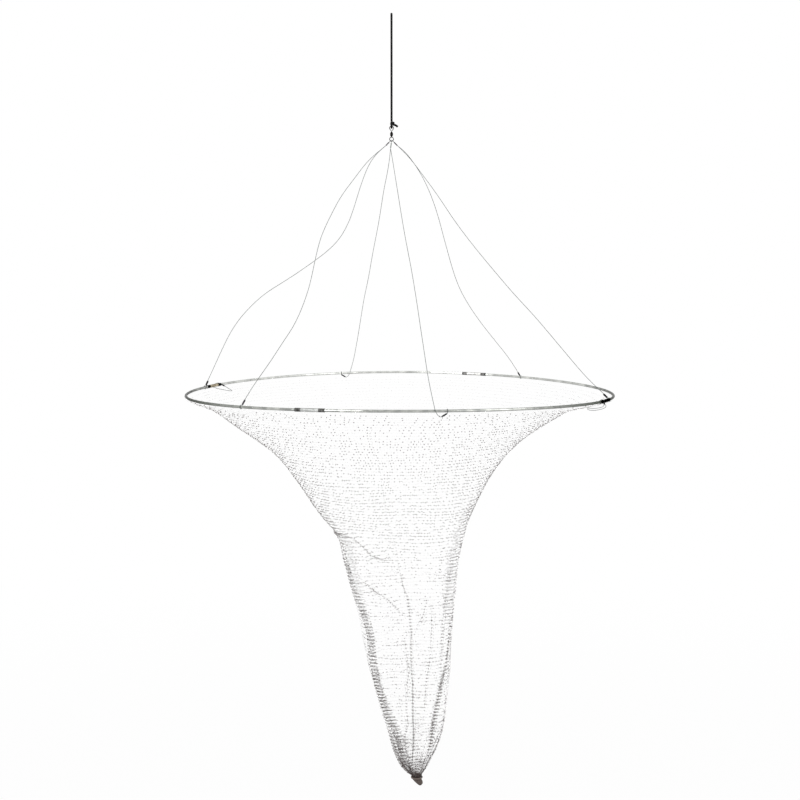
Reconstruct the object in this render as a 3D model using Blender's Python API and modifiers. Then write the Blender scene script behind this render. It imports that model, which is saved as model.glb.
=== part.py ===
"""Crab hoop net hanging on its lifting rope.

A steel hoop made of four rod sections carries a tapering net bag that is tied at the bottom. Three
lines of clear mono, each doubled through the swivel's lower eye, run down to six places on the hoop.
Metres; +X is right, +Y is away from the viewer, +Z is up. The origin is the rope's cut top end.
"""

import math

import bmesh
import bpy
from mathutils import Matrix, Vector

# Clearances
TOUCH_GAP = 0.0003
HANGING_GAP = 0.0005
WELD_DISTANCE = 0.000001
AXIS_WELD_DISTANCE = 0.00001
SHORTEST_STEP = 0.000000001

# Lifting rope, and the knot that ties it to the swivel
ROPE_DIAMETER = 0.0046
ROPE_FREE_LENGTH = 0.2238
ROPE_POINT_SPACING = 0.010
KNOT_HEIGHT = 0.0092
KNOT_TURN_RADIUS = 0.0025
KNOT_TURN_RISE = 0.0031
KNOT_TURN_DROP = 0.0024
KNOT_CORE_DIAMETER = 0.0052
KNOT_CORE_OFFSET = 0.0007
KNOT_OFFSET = 0.0017
KNOT_TAIL_REACH = 0.0110
KNOT_TAIL_DROP = 0.0052
KNOT_TAIL_START = 0.0020

# Swivel: two wire eyes whose shanks turn in a hollow barrel
EYE_WIRE_DIAMETER = 0.0015
EYE_ROUND_RADIUS = 0.0042
UPPER_EYE_TAPER = 0.0071
LOWER_EYE_TAPER = 0.00435
SHANK_DIAMETER = 0.0018
SHANK_HEAD_DIAMETER = 0.0038
SHANK_HEAD_HEIGHT = 0.0013
SHANK_NECK = 0.0012
BARREL_LENGTH = 0.0095
BARREL_DIAMETER = 0.0064
BARREL_SHOULDER = 0.0018
BARREL_WALL = 0.0008

# Bridle lines and their crimped sleeves
LINE_DIAMETER = 0.0010
TOP_LOOP_CLEARANCE = 0.00075
TOP_LOOP_ANGLE = 35.0
LOOP_OPENING = 55.0
TOP_NECK = 0.0045
TOP_CRIMP_LENGTH = 0.0090
HOOP_LOOP_CLEARANCE = 0.0004
HOOP_NECK = 0.0060
HOOP_CRIMP_LENGTH = 0.0100
CRIMP_WALL = 0.0005
LINE_LEAD = 0.0015
BRIDLE_DROP = 0.52425

# Hoop
HOOP_RADIUS = 0.4543
HOOP_OFFSET = 0.0172
HOOP_DROOP = 0.0095
ROD_DIAMETER = 0.0055
ROD_END_GAP = 0.0010
COUPLING_LENGTH = 0.0360
COUPLING_WALL = 0.00055
COLLAR_LENGTH = 0.0120

# Turned-over leg ends: the sleeve hangs below the rod, on the outside
TURNED_SLEEVE_SLANT = 30.0
TURNED_SLEEVE_ALONG = -0.0022
TURNED_SLEEVE_OUT = 0.0040
TURNED_SLEEVE_DROP = 0.0046
TURNED_FOOT_OUT = 0.0060
TURNED_FOOT_UP = 0.0010

# Net bag, its tie and the bunched end below the tie
NET_TOP_DROP = 0.0053
NET_LENGTH = 0.8582
NET_WALL = 0.0008
NET_BAR_WIDTH = 0.0040
LEAST_BAR_SHARE = 0.025
MOST_BAR_SHARE = 0.20
OPEN_RADIUS_SHARE = 0.100
NET_SWAY = 0.0400
NET_LEVEL_DEPTH = 0.0300
ROUND_POWER = 2.0
SQUARE_POWER = 3.2
TIE_CORD_DIAMETER = 0.0022
TIE_TURNS_HEIGHT = 0.0050
TUFT_NECK_LENGTH = 0.0100
TUFT_LENGTH = 0.0160
TUFT_LEAN = 0.0072

# Facets
HOOP_SECTION_STEPS = 20
LOOP_STEPS = 8
LEG_STEPS = 19
NET_SECTORS = 24
ROUND_SIDES = 16
OVAL_SIDES = 12

# Heights, worked out down the hanging chain
UPPER_EYE_TOP = -ROPE_FREE_LENGTH - KNOT_HEIGHT
UPPER_EYE_CENTRE = UPPER_EYE_TOP - EYE_ROUND_RADIUS
BARREL_TOP = UPPER_EYE_CENTRE - UPPER_EYE_TAPER - SHANK_NECK
BARREL_MIDDLE = BARREL_TOP - BARREL_LENGTH / 2
BARREL_BOTTOM = BARREL_TOP - BARREL_LENGTH
LOWER_EYE_CENTRE = BARREL_BOTTOM - SHANK_NECK - LOWER_EYE_TAPER
LOWER_EYE_BOTTOM = LOWER_EYE_CENTRE - EYE_ROUND_RADIUS
HOOP_HEIGHT = LOWER_EYE_BOTTOM - BRIDLE_DROP
NET_TOP = HOOP_HEIGHT - NET_TOP_DROP

ROPE_RADIUS = ROPE_DIAMETER / 2
WIRE_RADIUS = EYE_WIRE_DIAMETER / 2
LINE_RADIUS = LINE_DIAMETER / 2
ROD_RADIUS = ROD_DIAMETER / 2
COUPLING_RADIUS = ROD_RADIUS + TOUCH_GAP + COUPLING_WALL
STRAND_OFFSET = LINE_RADIUS + TOUCH_GAP / 2
CRIMP_HALF_WIDTH = STRAND_OFFSET + LINE_RADIUS + TOUCH_GAP + CRIMP_WALL
CRIMP_HALF_DEPTH = LINE_RADIUS + TOUCH_GAP + CRIMP_WALL
TOP_LOOP_RADIUS = WIRE_RADIUS + TOP_LOOP_CLEARANCE + LINE_RADIUS
HOOP_LOOP_RADIUS = ROD_RADIUS + HOOP_LOOP_CLEARANCE + LINE_RADIUS
TETHER_WRAP_RADIUS = COUPLING_RADIUS + HOOP_LOOP_CLEARANCE + LINE_RADIUS

# Angles around the hoop, anticlockwise from +X as seen from above, in degrees
COUPLING_ANGLES = {
    "front_right": -24.3,
    "back_right": 66.4,
    "back_left": 158.5,
    "front_left": 248.5,
}
SECTION_NAMES = ["right", "back", "left", "front"]

# Each leg's route from the lower eye to the hoop: share of the way out, share of the way down
LEG_ROUTE_SHARES = {
    "front_left": [
        (0.18, 0.09), (0.28, 0.17), (0.34, 0.21), (0.40, 0.27), (0.44, 0.32), (0.48, 0.36),
        (0.51, 0.41), (0.53, 0.47), (0.55, 0.51), (0.56, 0.56), (0.58, 0.59), (0.61, 0.64),
        (0.64, 0.68), (0.68, 0.73), (0.74, 0.77), (0.79, 0.82), (0.84, 0.86), (0.93, 0.93),
    ],
    "back_left": [
        (0.08, 0.04), (0.12, 0.09), (0.14, 0.13), (0.16, 0.18), (0.18, 0.22), (0.19, 0.26),
        (0.21, 0.30), (0.23, 0.34), (0.27, 0.39), (0.31, 0.42), (0.36, 0.45), (0.49, 0.52),
        (0.57, 0.56), (0.66, 0.60), (0.72, 0.64), (0.77, 0.68), (0.81, 0.71), (0.85, 0.76),
        (0.88, 0.80), (0.91, 0.85), (0.94, 0.90),
    ],
    "back": [
        (0.06, 0.10), (0.16, 0.18), (0.24, 0.28), (0.33, 0.37), (0.42, 0.45), (0.51, 0.55),
        (0.62, 0.64), (0.70, 0.73), (0.77, 0.81), (0.84, 0.88), (0.90, 0.94),
    ],
    "front": [
        (0.04, 0.09), (0.10, 0.15), (0.20, 0.25), (0.29, 0.34), (0.38, 0.42), (0.50, 0.52),
        (0.63, 0.65), (0.71, 0.74), (0.77, 0.80), (0.84, 0.88), (0.90, 0.93),
    ],
    "back_right": [
        (0.09, 0.03), (0.13, 0.06), (0.17, 0.09), (0.21, 0.12), (0.25, 0.17), (0.28, 0.20),
        (0.30, 0.24), (0.33, 0.28), (0.35, 0.33), (0.38, 0.39), (0.41, 0.45), (0.44, 0.51),
        (0.49, 0.59), (0.55, 0.65), (0.62, 0.71), (0.70, 0.77), (0.80, 0.84), (0.90, 0.91),
    ],
    "front_right": [
        (0.06, 0.04), (0.09, 0.07), (0.12, 0.10), (0.14, 0.13), (0.18, 0.17), (0.23, 0.23),
        (0.30, 0.32), (0.41, 0.44), (0.49, 0.52), (0.57, 0.60), (0.66, 0.68), (0.74, 0.76),
        (0.82, 0.84), (0.90, 0.92),
    ],
}
LEG_ANGLES = {
    "front_left": -131.8,
    "back": 105.5,
    "front": -81.9,
    "back_right": 50.3,
}
# Legs beside the coupling of the same name: how far along the rod from its collar's end
LEG_COLLAR_GAPS = {"back_left": 0.0109, "front_right": 0.0054}
TURNED_SLEEVE_ANGLES = {"back": 108.4, "front": -78.9}
# The turned-over ends' way round below the rod: along the rod, outward, up, from the sleeve's angle
TURNED_ROUTE = [
    (-0.0150, 0.0046, -0.0103),
    (-0.0186, 0.0050, -0.0076),
    (-0.0213, 0.0053, -0.0038),
]

# Bridle lines: the two legs that each makes, and where its loop and sleeve leave the lower eye
BRIDLE_LINES = {
    "left": ("front_left", "back_left", -TOP_LOOP_ANGLE, 45.0),
    "middle": ("front", "back", 0.0, 8.0),
    "right": ("front_right", "back_right", TOP_LOOP_ANGLE, -45.0),
}

# Tether loops: the hoop angle they start from, then along the rod, outward, up
LEFT_TETHER_ANGLE = 157.15
LEFT_TETHER_SLEEVE = [(-0.0145, -0.0060, 0.0010), (-0.0160, -0.0135, -0.0030)]
LEFT_TETHER_ROUTE = [
    (-0.0185, -0.0200, -0.0070),
    (-0.0215, -0.0265, -0.0110),
    (-0.0222, -0.0300, -0.0135),
    (-0.0200, -0.0305, -0.0140),
    (-0.0140, -0.0260, -0.0130),
    (-0.0040, -0.0170, -0.0100),
    (0.0060, -0.0090, -0.0070),
]
LEFT_TETHER_WRAP = (-140.0, 140.0, 0.0140, -0.0130)
RIGHT_TETHER_ANGLE = -27.2
RIGHT_TETHER_SLEEVE = [(0.0, 0.0062, 0.0035), (-0.0015, 0.0062, -0.0045)]
RIGHT_TETHER_ROUTE = [
    (-0.0070, 0.0058, -0.0085),
    (-0.0250, 0.0050, -0.0100),
    (-0.0500, 0.0040, -0.0095),
    (-0.0700, 0.0020, -0.0075),
    (-0.0755, 0.0025, -0.0080),
    (-0.0720, 0.0050, -0.0110),
    (-0.0500, 0.0070, -0.0130),
    (-0.0200, 0.0085, -0.0125),
    (0.0000, 0.0085, -0.0105),
    (0.0090, 0.0060, -0.0070),
]
RIGHT_TETHER_WRAP = (-75.0, -310.0, 0.0110, 0.0015)
TETHER_WRAP_STEPS = 8

# The net's outline: share of its length down, share of the hoop's radius, share of its sway
NET_OUTLINE_SHARES = [
    (0.000, 1.000, 0.00), (0.029, 0.868, -0.41), (0.049, 0.808, -0.48), (0.084, 0.711, -0.57),
    (0.113, 0.635, -0.55), (0.148, 0.560, -0.47), (0.208, 0.468, -0.42), (0.281, 0.384, -0.28),
    (0.343, 0.317, 0.00), (0.396, 0.283, 0.10), (0.476, 0.259, 0.15), (0.563, 0.228, 0.33),
    (0.642, 0.212, 0.43), (0.728, 0.191, 0.59), (0.823, 0.155, 0.77), (0.920, 0.105, 0.83),
    (0.949, 0.080, 0.80), (0.971, 0.058, 0.82), (0.984, 0.037, 0.86), (0.993, 0.022, 0.94),
    (1.000, 0.022, 0.94),
]
# The net's cross-section, which hangs flatter below the funnel: share of its length down, its depth as
# a share of its width, and how far it is from round to squarish
NET_SECTION_SHARES = [
    (0.00, 1.00, 0.0), (0.15, 1.00, 0.0), (0.25, 0.94, 0.3), (0.34, 0.83, 0.8), (0.42, 0.75, 1.0),
    (0.85, 0.75, 1.0), (0.97, 1.00, 0.0), (1.00, 1.00, 0.0),
]
# The bunched end: share of its length down, share of the neck's radius, share of its lean
TUFT_OUTLINE_SHARES = [
    (0.0, 1.0, 0.0), (0.10, 1.08, 0.10), (0.40, 1.05, 0.45), (0.65, 0.85, 0.80), (0.87, 0.55, 0.97),
    (1.0, 0.20, 1.0),
]
# How far each of the knot's turns rises across its width, as a share
KNOT_TURN_LEAN_SHARES = [-0.20, 0.14]
# The barrel's outside: share of its length from the middle, share of its radius
BARREL_OUTLINE_SHARES = [
    (-0.50, 0.55), (-0.42, 0.72), (-0.25, 0.90), (-0.12, 0.97), (-0.02, 0.93), (0.08, 1.00),
    (0.20, 0.96), (0.36, 0.74), (0.50, 0.50),
]


def clear_scene():
    for scene_object in list(bpy.data.objects):
        bpy.data.objects.remove(scene_object)


def make_collection(name, hidden=False):
    collection = bpy.data.collections.new(name)
    bpy.context.scene.collection.children.link(collection)
    collection.hide_render = hidden
    return collection


def make_material(name, colour, roughness, metallic=0.0, alpha=1.0):
    made = bpy.data.materials.new(name)
    made.use_nodes = True
    shader = made.node_tree.nodes["Principled BSDF"]
    shader.inputs["Base Color"].default_value = (*colour, 1.0)
    shader.inputs["Roughness"].default_value = roughness
    shader.inputs["Metallic"].default_value = metallic
    shader.inputs["Alpha"].default_value = alpha
    return made


clear_scene()
PARTS = make_collection("crab_hoop_net")
CUTTERS = make_collection("cutters", hidden=True)
MATERIALS = {
    "rope": make_material("black_rope", (0.012, 0.012, 0.013), 0.8),
    "wire": make_material("black_wire", (0.03, 0.03, 0.03), 0.35, 0.8),
    "mono": make_material("clear_mono", (0.50, 0.56, 0.54), 0.25, alpha=0.7),
    "crimp": make_material("black_crimp", (0.05, 0.045, 0.05), 0.45, 0.6),
    "rod": make_material("bright_steel", (0.62, 0.61, 0.60), 0.25, 1.0),
    "coupling": make_material("coupling_steel", (0.38, 0.36, 0.32), 0.35, 1.0),
    "collar": make_material("black_collar", (0.03, 0.03, 0.03), 0.5, 0.3),
    "net": make_material("white_net", (0.80, 0.79, 0.77), 0.75),
    "tie": make_material("dark_tie", (0.10, 0.09, 0.08), 0.8),
}


def place(item, name, material, parent):
    """Give an object its name, material and parent, and put it with the parts."""
    item.name = name
    if item.data.materials:
        item.data.materials[0] = MATERIALS[material]
    else:
        item.data.materials.append(MATERIALS[material])
    for holder in list(item.users_collection):
        holder.objects.unlink(item)
    PARTS.objects.link(item)
    if parent is not None:
        item.parent = parent
        item.matrix_parent_inverse = parent.matrix_world.inverted()
    return item


def joint_frame(name, location, parent=None):
    """An empty on a joint's axis, which carries the pieces that move with the joint."""
    frame = bpy.data.objects.new(name, None)
    frame.empty_display_size = BARREL_LENGTH
    frame.location = location
    PARTS.objects.link(frame)
    bpy.context.view_layer.update()
    if parent is not None:
        frame.parent = parent
        frame.matrix_parent_inverse = parent.matrix_world.inverted()
        bpy.context.view_layer.update()
    return frame


def smooth_route(points, count):
    """Count points at even steps along a smooth curve through the points."""
    line = [Vector(point) for point in points]
    line = [2 * line[0] - line[1]] + line + [2 * line[-1] - line[-2]]
    fine = []
    shares = [step / 12 for step in range(12)]
    for before, start, end, after in zip(line, line[1:], line[2:], line[3:]):
        for t in shares:
            fine.append(
                0.5 * (
                    2 * start
                    + (end - before) * t
                    + (2 * before - 5 * start + 4 * end - after) * t * t
                    + (3 * start - before - 3 * end + after) * t * t * t
                )
            )
    fine.append(line[-2])
    reach = [0.0]
    for start, end in zip(fine, fine[1:]):
        reach.append(reach[-1] + (end - start).length)
    picked = []
    at = 0
    for step in range(count):
        wanted = reach[-1] * step / (count - 1)
        while at < len(fine) - 2 and reach[at + 1] < wanted:
            at += 1
        share = (wanted - reach[at]) / max(reach[at + 1] - reach[at], SHORTEST_STEP)
        picked.append(fine[at].lerp(fine[at + 1], min(share, 1.0)))
    return picked


def tube_curve(points, radius, resolution=2, cyclic=False, capped=True):
    """A curve object along the points, round in section."""
    data = bpy.data.curves.new("tube", "CURVE")
    data.dimensions = "3D"
    data.bevel_depth = radius
    data.bevel_resolution = resolution
    data.use_fill_caps = capped
    spline = data.splines.new("POLY")
    spline.points.add(len(points) - 1)
    for spline_point, point in zip(spline.points, points):
        spline_point.co = (*point, 1.0)
    spline.use_cyclic_u = cyclic
    spline.use_smooth = True
    item = bpy.data.objects.new("tube", data)
    bpy.context.scene.collection.objects.link(item)
    return item


def as_mesh(item):
    """The object's evaluated shape as a new closed mesh object in its place."""
    bpy.context.view_layer.update()
    graph = bpy.context.evaluated_depsgraph_get()
    data = bpy.data.meshes.new_from_object(item.evaluated_get(graph))
    shape = bmesh.new()
    shape.from_mesh(data)
    bmesh.ops.remove_doubles(shape, verts=shape.verts, dist=WELD_DISTANCE)
    bmesh.ops.recalc_face_normals(shape, faces=shape.faces)
    shape.to_mesh(data)
    shape.free()
    made = bpy.data.objects.new(item.name, data)
    made.matrix_world = item.matrix_world.copy()
    bpy.context.scene.collection.objects.link(made)
    bpy.data.objects.remove(item)
    return made


def join_shapes(target, others):
    """Union the other shapes into the target, and keep them as hidden construction."""
    for number, other in enumerate(others):
        other.name = f"{target.name}_joined_{number}"
        for holder in list(other.users_collection):
            holder.objects.unlink(other)
        CUTTERS.objects.link(other)
        other.hide_render = True
        other.display_type = "WIRE"
        union = target.modifiers.new(f"join_{number}", "BOOLEAN")
        union.operation = "UNION"
        union.solver = "EXACT"
        union.object = other
    return target


def smooth_shaded(item, angle=40.0):
    item.data.shade_smooth()
    item.data.set_sharp_from_angle(angle=math.radians(angle))
    return item


def turned(outline, steps=ROUND_SIDES):
    """A solid turned about Z from a closed outline of (radius, height) points."""
    data = bpy.data.meshes.new("turned")
    shape = bmesh.new()
    corners = [shape.verts.new((radius, 0.0, height)) for radius, height in outline]
    for start, end in zip(corners, corners[1:] + corners[:1]):
        if outline[corners.index(start)][0] > 0 or outline[corners.index(end)][0] > 0:
            shape.edges.new((start, end))
    shape.to_mesh(data)
    shape.free()
    item = bpy.data.objects.new("turned", data)
    bpy.context.scene.collection.objects.link(item)
    screw = item.modifiers.new("turn", "SCREW")
    screw.steps = steps
    screw.render_steps = steps
    screw.use_merge_vertices = True
    screw.merge_threshold = AXIS_WELD_DISTANCE
    screw.use_normal_calculate = True
    return item


def lofted(rings, sectors, capped):
    """A skin through horizontal rings, each a list of points, with flat ends if capped."""
    data = bpy.data.meshes.new("lofted")
    shape = bmesh.new()
    rows = [[shape.verts.new(point) for point in ring] for ring in rings]
    for upper, lower in zip(rows, rows[1:]):
        for place_ in range(sectors):
            after = (place_ + 1) % sectors
            shape.faces.new((upper[place_], lower[place_], lower[after], upper[after]))
    if capped:
        shape.faces.new(rows[0])
        shape.faces.new(list(reversed(rows[-1])))
    shape.to_mesh(data)
    shape.free()
    item = bpy.data.objects.new("lofted", data)
    bpy.context.scene.collection.objects.link(item)
    return item


def arc_degrees(length):
    return math.degrees(length / HOOP_RADIUS)


def leg_angle(leg):
    if leg in LEG_COLLAR_GAPS:
        beyond = COUPLING_LENGTH / 2 + TOUCH_GAP + COLLAR_LENGTH + LEG_COLLAR_GAPS[leg]
        return COUPLING_ANGLES[leg] + arc_degrees(beyond)
    return LEG_ANGLES[leg]


def hoop_corners():
    """Each rod section's corners, as (angle, point) from end to end."""
    starts = list(COUPLING_ANGLES.values())
    half_gap = arc_degrees(ROD_END_GAP / 2)
    sections = []
    for start, end in zip(starts, starts[1:] + [starts[0] + 360.0]):
        corners = []
        for step in range(HOOP_SECTION_STEPS + 1):
            share = step / HOOP_SECTION_STEPS
            angle = start + half_gap + (end - start - 2 * half_gap) * share
            turn = math.radians(angle)
            corners.append((angle, Vector((
                HOOP_OFFSET + HOOP_RADIUS * math.cos(turn),
                HOOP_RADIUS * math.sin(turn),
                HOOP_HEIGHT - HOOP_DROOP * math.cos(turn) ** 2,
            ))))
        sections.append(corners)
    return sections


HOOP_SECTIONS = hoop_corners()


def hoop_straight(angle):
    """The two corners that this angle lies between, with the angle counted on from the first corner."""
    corners = [corner for section in HOOP_SECTIONS for corner in section]
    first_angle, first_point = corners[0]
    corners.append((first_angle + 360.0, first_point))
    at = first_angle + (angle - first_angle) % 360.0
    for (low, start), (high, end) in zip(corners, corners[1:]):
        if low <= at <= high:
            return start, end, (at - low) / (high - low)
    return start, end, 1.0


def hoop_point(angle):
    start, end, share = hoop_straight(angle)
    return start.lerp(end, share)


def hoop_tangent(angle):
    start, end, _ = hoop_straight(angle)
    return (end - start).normalized()


def beside_hoop(angle, along, outward, up):
    """The point that lies this far along the rod, outward and up from the rod's centre."""
    at = angle + arc_degrees(along)
    turn = math.radians(at)
    return hoop_point(at) + Vector((outward * math.cos(turn), outward * math.sin(turn), up))


def bight(centre, tangent, near, far, radius):
    """A line's way in through a sleeve, round a rod or wire, and out through the sleeve again.

    The sleeve lies from near to far. The way starts and ends at far, a strand's width apart.
    """
    toward = near - centre
    across_rod = (toward - toward.dot(tangent) * tangent).normalized()
    side = tangent.cross(across_rod).normalized()
    axis = (far - near).normalized()
    apart = (side - side.dot(axis) * axis).normalized()
    mouth, tip = near - LINE_LEAD * axis, far + LINE_LEAD * axis
    way = [tip + STRAND_OFFSET * apart, mouth + STRAND_OFFSET * apart]
    for step in range(LOOP_STEPS + 1):
        turn = math.radians(LOOP_OPENING + (360.0 - 2 * LOOP_OPENING) * step / LOOP_STEPS)
        way.append(centre + radius * (math.cos(turn) * across_rod + math.sin(turn) * side))
    way += [mouth - STRAND_OFFSET * apart, tip - STRAND_OFFSET * apart]
    return way, apart


def oval_sleeve(name, near, far, apart, material, parent):
    """A crimped sleeve round two strands that lie apart, side by side."""
    axis = (far - near).normalized()
    data = bpy.data.meshes.new("sleeve")
    shape = bmesh.new()
    bmesh.ops.create_cone(
        shape,
        cap_ends=False,
        segments=OVAL_SIDES,
        radius1=1.0,
        radius2=1.0,
        depth=(far - near).length,
    )
    for corner in shape.verts:
        corner.co.x *= CRIMP_HALF_WIDTH
        corner.co.y *= CRIMP_HALF_DEPTH
    shape.to_mesh(data)
    shape.free()
    item = bpy.data.objects.new("sleeve", data)
    bpy.context.scene.collection.objects.link(item)
    turn = Matrix((apart, axis.cross(apart), axis)).transposed()
    item.matrix_world = Matrix.Translation((near + far) / 2) @ turn.to_4x4()
    wall = item.modifiers.new("wall", "SOLIDIFY")
    wall.thickness = CRIMP_WALL
    wall.offset = -1.0
    wall.use_even_offset = True
    return smooth_shaded(place(item, name, material, parent))


def make_rope():
    """The rope's straight run, down to the knot."""
    count = round(ROPE_FREE_LENGTH / ROPE_POINT_SPACING)
    points = [Vector((0.0, 0.0, -ROPE_FREE_LENGTH * step / count)) for step in range(count + 1)]
    place(tube_curve(points, ROPE_RADIUS), "lifting_rope", "rope", None)


def ring_points(centre, radius, count, across, up):
    turns = [2 * math.pi * step / count for step in range(count)]
    return [centre + radius * (math.cos(turn) * across + math.sin(turn) * up) for turn in turns]


def make_knot():
    """The knot: two turns round the standing rope, the loop through the eye, and the tail."""
    x_axis, y_axis, z_axis = Vector((1, 0, 0)), Vector((0, 1, 0)), Vector((0, 0, 1))
    eye_top = Vector((0.0, 0.0, UPPER_EYE_TOP))
    loop_radius = WIRE_RADIUS + HANGING_GAP + ROPE_RADIUS
    core_top = Vector((0.0, 0.0, -ROPE_FREE_LENGTH - TOUCH_GAP))
    loop = as_mesh(tube_curve(
        ring_points(eye_top, loop_radius, ROUND_SIDES, y_axis, z_axis), ROPE_RADIUS, cyclic=True
    ))
    core_ends = [point + KNOT_CORE_OFFSET * x_axis for point in (core_top, eye_top + loop_radius * z_axis)]
    core = as_mesh(tube_curve(core_ends, KNOT_CORE_DIAMETER / 2, 3))
    turns = []
    for level, lean in enumerate(KNOT_TURN_LEAN_SHARES):
        centre = core_top + Vector((KNOT_OFFSET, 0.0, -KNOT_TURN_DROP - KNOT_TURN_RISE * level))
        across = Vector((1.0, 0.0, lean)).normalized()
        turns.append(as_mesh(tube_curve(
            ring_points(centre, KNOT_TURN_RADIUS, ROUND_SIDES // 2 + 2, across, y_axis),
            ROPE_RADIUS,
            cyclic=True,
        )))
    tail_start = centre + KNOT_TAIL_START * x_axis
    tail_end = tail_start + Vector((KNOT_TAIL_REACH - KNOT_TAIL_START, 0.0, -KNOT_TAIL_DROP))
    tail_bend = tail_start.lerp(tail_end, 0.5) + ROPE_RADIUS / 2 * z_axis
    tail = as_mesh(tube_curve([tail_start, tail_bend, tail_end], ROPE_RADIUS))
    place(smooth_shaded(join_shapes(loop, [core, *turns, tail])), "rope_knot", "rope", None)


def make_eye(name, centre_height, taper, direction, parent):
    """A wire eye, round at one end and drawn in to its shank, with the shank's head in the barrel.

    Direction is 1 when the shank points up, and -1 when it points down.
    """
    centre = Vector((0.0, 0.0, centre_height))
    lean = math.asin(EYE_ROUND_RADIUS / taper)
    first = math.pi / 2 - lean
    steps = 14
    points = []
    for step in range(steps + 1):
        turn = first + (2 * math.pi - 2 * first) * step / steps
        across = EYE_ROUND_RADIUS * math.sin(turn)
        points.append(centre + Vector((across, 0.0, direction * EYE_ROUND_RADIUS * math.cos(turn))))
    point = centre + Vector((0.0, 0.0, direction * taper))
    points.append(point)
    eye = as_mesh(tube_curve(points, WIRE_RADIUS, cyclic=True))
    shoulder = BARREL_MIDDLE - direction * (BARREL_LENGTH / 2 - BARREL_SHOULDER)
    head_top = shoulder + direction * (TOUCH_GAP + SHANK_HEAD_HEIGHT)
    shank = turned([
        (0.0, direction * (head_top - point.z)),
        (SHANK_HEAD_DIAMETER / 2, direction * (head_top - point.z)),
        (SHANK_HEAD_DIAMETER / 2, direction * (head_top - point.z) - SHANK_HEAD_HEIGHT),
        (SHANK_DIAMETER / 2, direction * (head_top - point.z) - SHANK_HEAD_HEIGHT),
        (SHANK_DIAMETER / 2, -WIRE_RADIUS / 2),
        (0.0, -WIRE_RADIUS / 2),
    ])
    shank = as_mesh(shank)
    shank.location = point
    if direction < 0:
        shank.rotation_euler.x = math.pi
    bpy.context.view_layer.update()
    return place(smooth_shaded(join_shapes(eye, [shank])), name, "wire", parent)


def make_barrel(parent):
    """The hollow barrel: a waisted casing, a neck at each end and a chamber for the two heads."""
    half = BARREL_LENGTH / 2
    neck = SHANK_DIAMETER / 2 + TOUCH_GAP
    chamber = SHANK_HEAD_DIAMETER / 2 + TOUCH_GAP
    chamber_half = half - BARREL_SHOULDER
    outline = [(chamber, chamber_half), (neck, chamber_half), (neck, half)]
    for height_share, radius_share in reversed(BARREL_OUTLINE_SHARES):
        outline.append((BARREL_DIAMETER / 2 * radius_share, BARREL_LENGTH * height_share))
    outline += [(neck, -half), (neck, -chamber_half), (chamber, -chamber_half)]
    barrel = as_mesh(turned(outline))
    barrel.location.z = BARREL_MIDDLE
    bpy.context.view_layer.update()
    place(smooth_shaded(barrel), "swivel_barrel", "wire", parent)


def leg_end(leg):
    """A leg's sleeve and loop at the hoop, as the way from the leg, through them, to its cut end."""
    if leg in TURNED_SLEEVE_ANGLES:
        angle = TURNED_SLEEVE_ANGLES[leg]
        slant = math.radians(TURNED_SLEEVE_SLANT)
        near = beside_hoop(angle, TURNED_SLEEVE_ALONG, TURNED_SLEEVE_OUT, -TURNED_SLEEVE_DROP)
        far = beside_hoop(
            angle,
            TURNED_SLEEVE_ALONG - HOOP_CRIMP_LENGTH * math.cos(slant),
            TURNED_SLEEVE_OUT,
            -TURNED_SLEEVE_DROP - HOOP_CRIMP_LENGTH * math.sin(slant),
        )
        way, apart = bight(hoop_point(angle), hoop_tangent(angle), near, far, HOOP_LOOP_RADIUS)
        foot = beside_hoop(leg_angle(leg), 0.0, TURNED_FOOT_OUT, TURNED_FOOT_UP)
        round_rod = [beside_hoop(angle, *offsets) for offsets in reversed(TURNED_ROUTE)]
        return foot, [foot, *round_rod, *way], (near, far, apart)
    angle = leg_angle(leg)
    foot = hoop_point(angle)
    out_share, down_share = LEG_ROUTE_SHARES[leg][-1]
    toward = (leg_point(foot, out_share, down_share) - foot).normalized()
    near = foot + HOOP_NECK * toward
    far = near + HOOP_CRIMP_LENGTH * toward
    way, apart = bight(foot, hoop_tangent(angle), near, far, HOOP_LOOP_RADIUS)
    return foot, way, (near, far, apart)


def leg_point(foot, out_share, down_share):
    apex = Vector((0.0, 0.0, LOWER_EYE_BOTTOM))
    return Vector((
        foot.x * out_share,
        foot.y * out_share,
        apex.z + (foot.z - apex.z) * down_share,
    ))


def make_bridle_line(name, legs, loop_angle, sleeve_lean, bridle, hoop):
    """One line: up a leg from its cut end, round the lower eye, and down the other leg."""
    turn = math.radians(loop_angle)
    lean = math.radians(sleeve_lean)
    wire_centre = Vector((
        EYE_ROUND_RADIUS * math.sin(turn), 0.0, LOWER_EYE_CENTRE - EYE_ROUND_RADIUS * math.cos(turn)
    ))
    wire_tangent = Vector((math.cos(turn), 0.0, math.sin(turn)))
    toward = Vector((-math.sin(lean), 0.0, -math.cos(lean)))
    near = wire_centre + TOP_NECK * toward
    far = near + TOP_CRIMP_LENGTH * toward
    top_way, apart = bight(wire_centre, wire_tangent, near, far, TOP_LOOP_RADIUS)
    if apart.y > 0:
        top_way.reverse()
    halves = []
    for leg, start in zip(legs, (top_way[0], top_way[-1])):
        foot, end_way, sleeve = leg_end(leg)
        middle = [leg_point(foot, *shares) for shares in LEG_ROUTE_SHARES[leg]]
        run = smooth_route([start, *middle, end_way[0]], LEG_STEPS)
        halves.append(run[1:-1] + end_way)
        oval_sleeve(f"hoop_crimp_{leg}", *sleeve, "crimp", hoop)
    points = list(reversed(halves[0])) + top_way + halves[1]
    place(tube_curve(points, LINE_RADIUS), f"bridle_line_{name}", "mono", bridle)
    oval_sleeve(f"top_crimp_{name}", near, far, apart, "crimp", bridle)
    length = sum((end - start).length for start, end in zip(points, points[1:]))
    print(f"bridle_line_{name}: {len(points)} points, {length:.3f} m")


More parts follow.
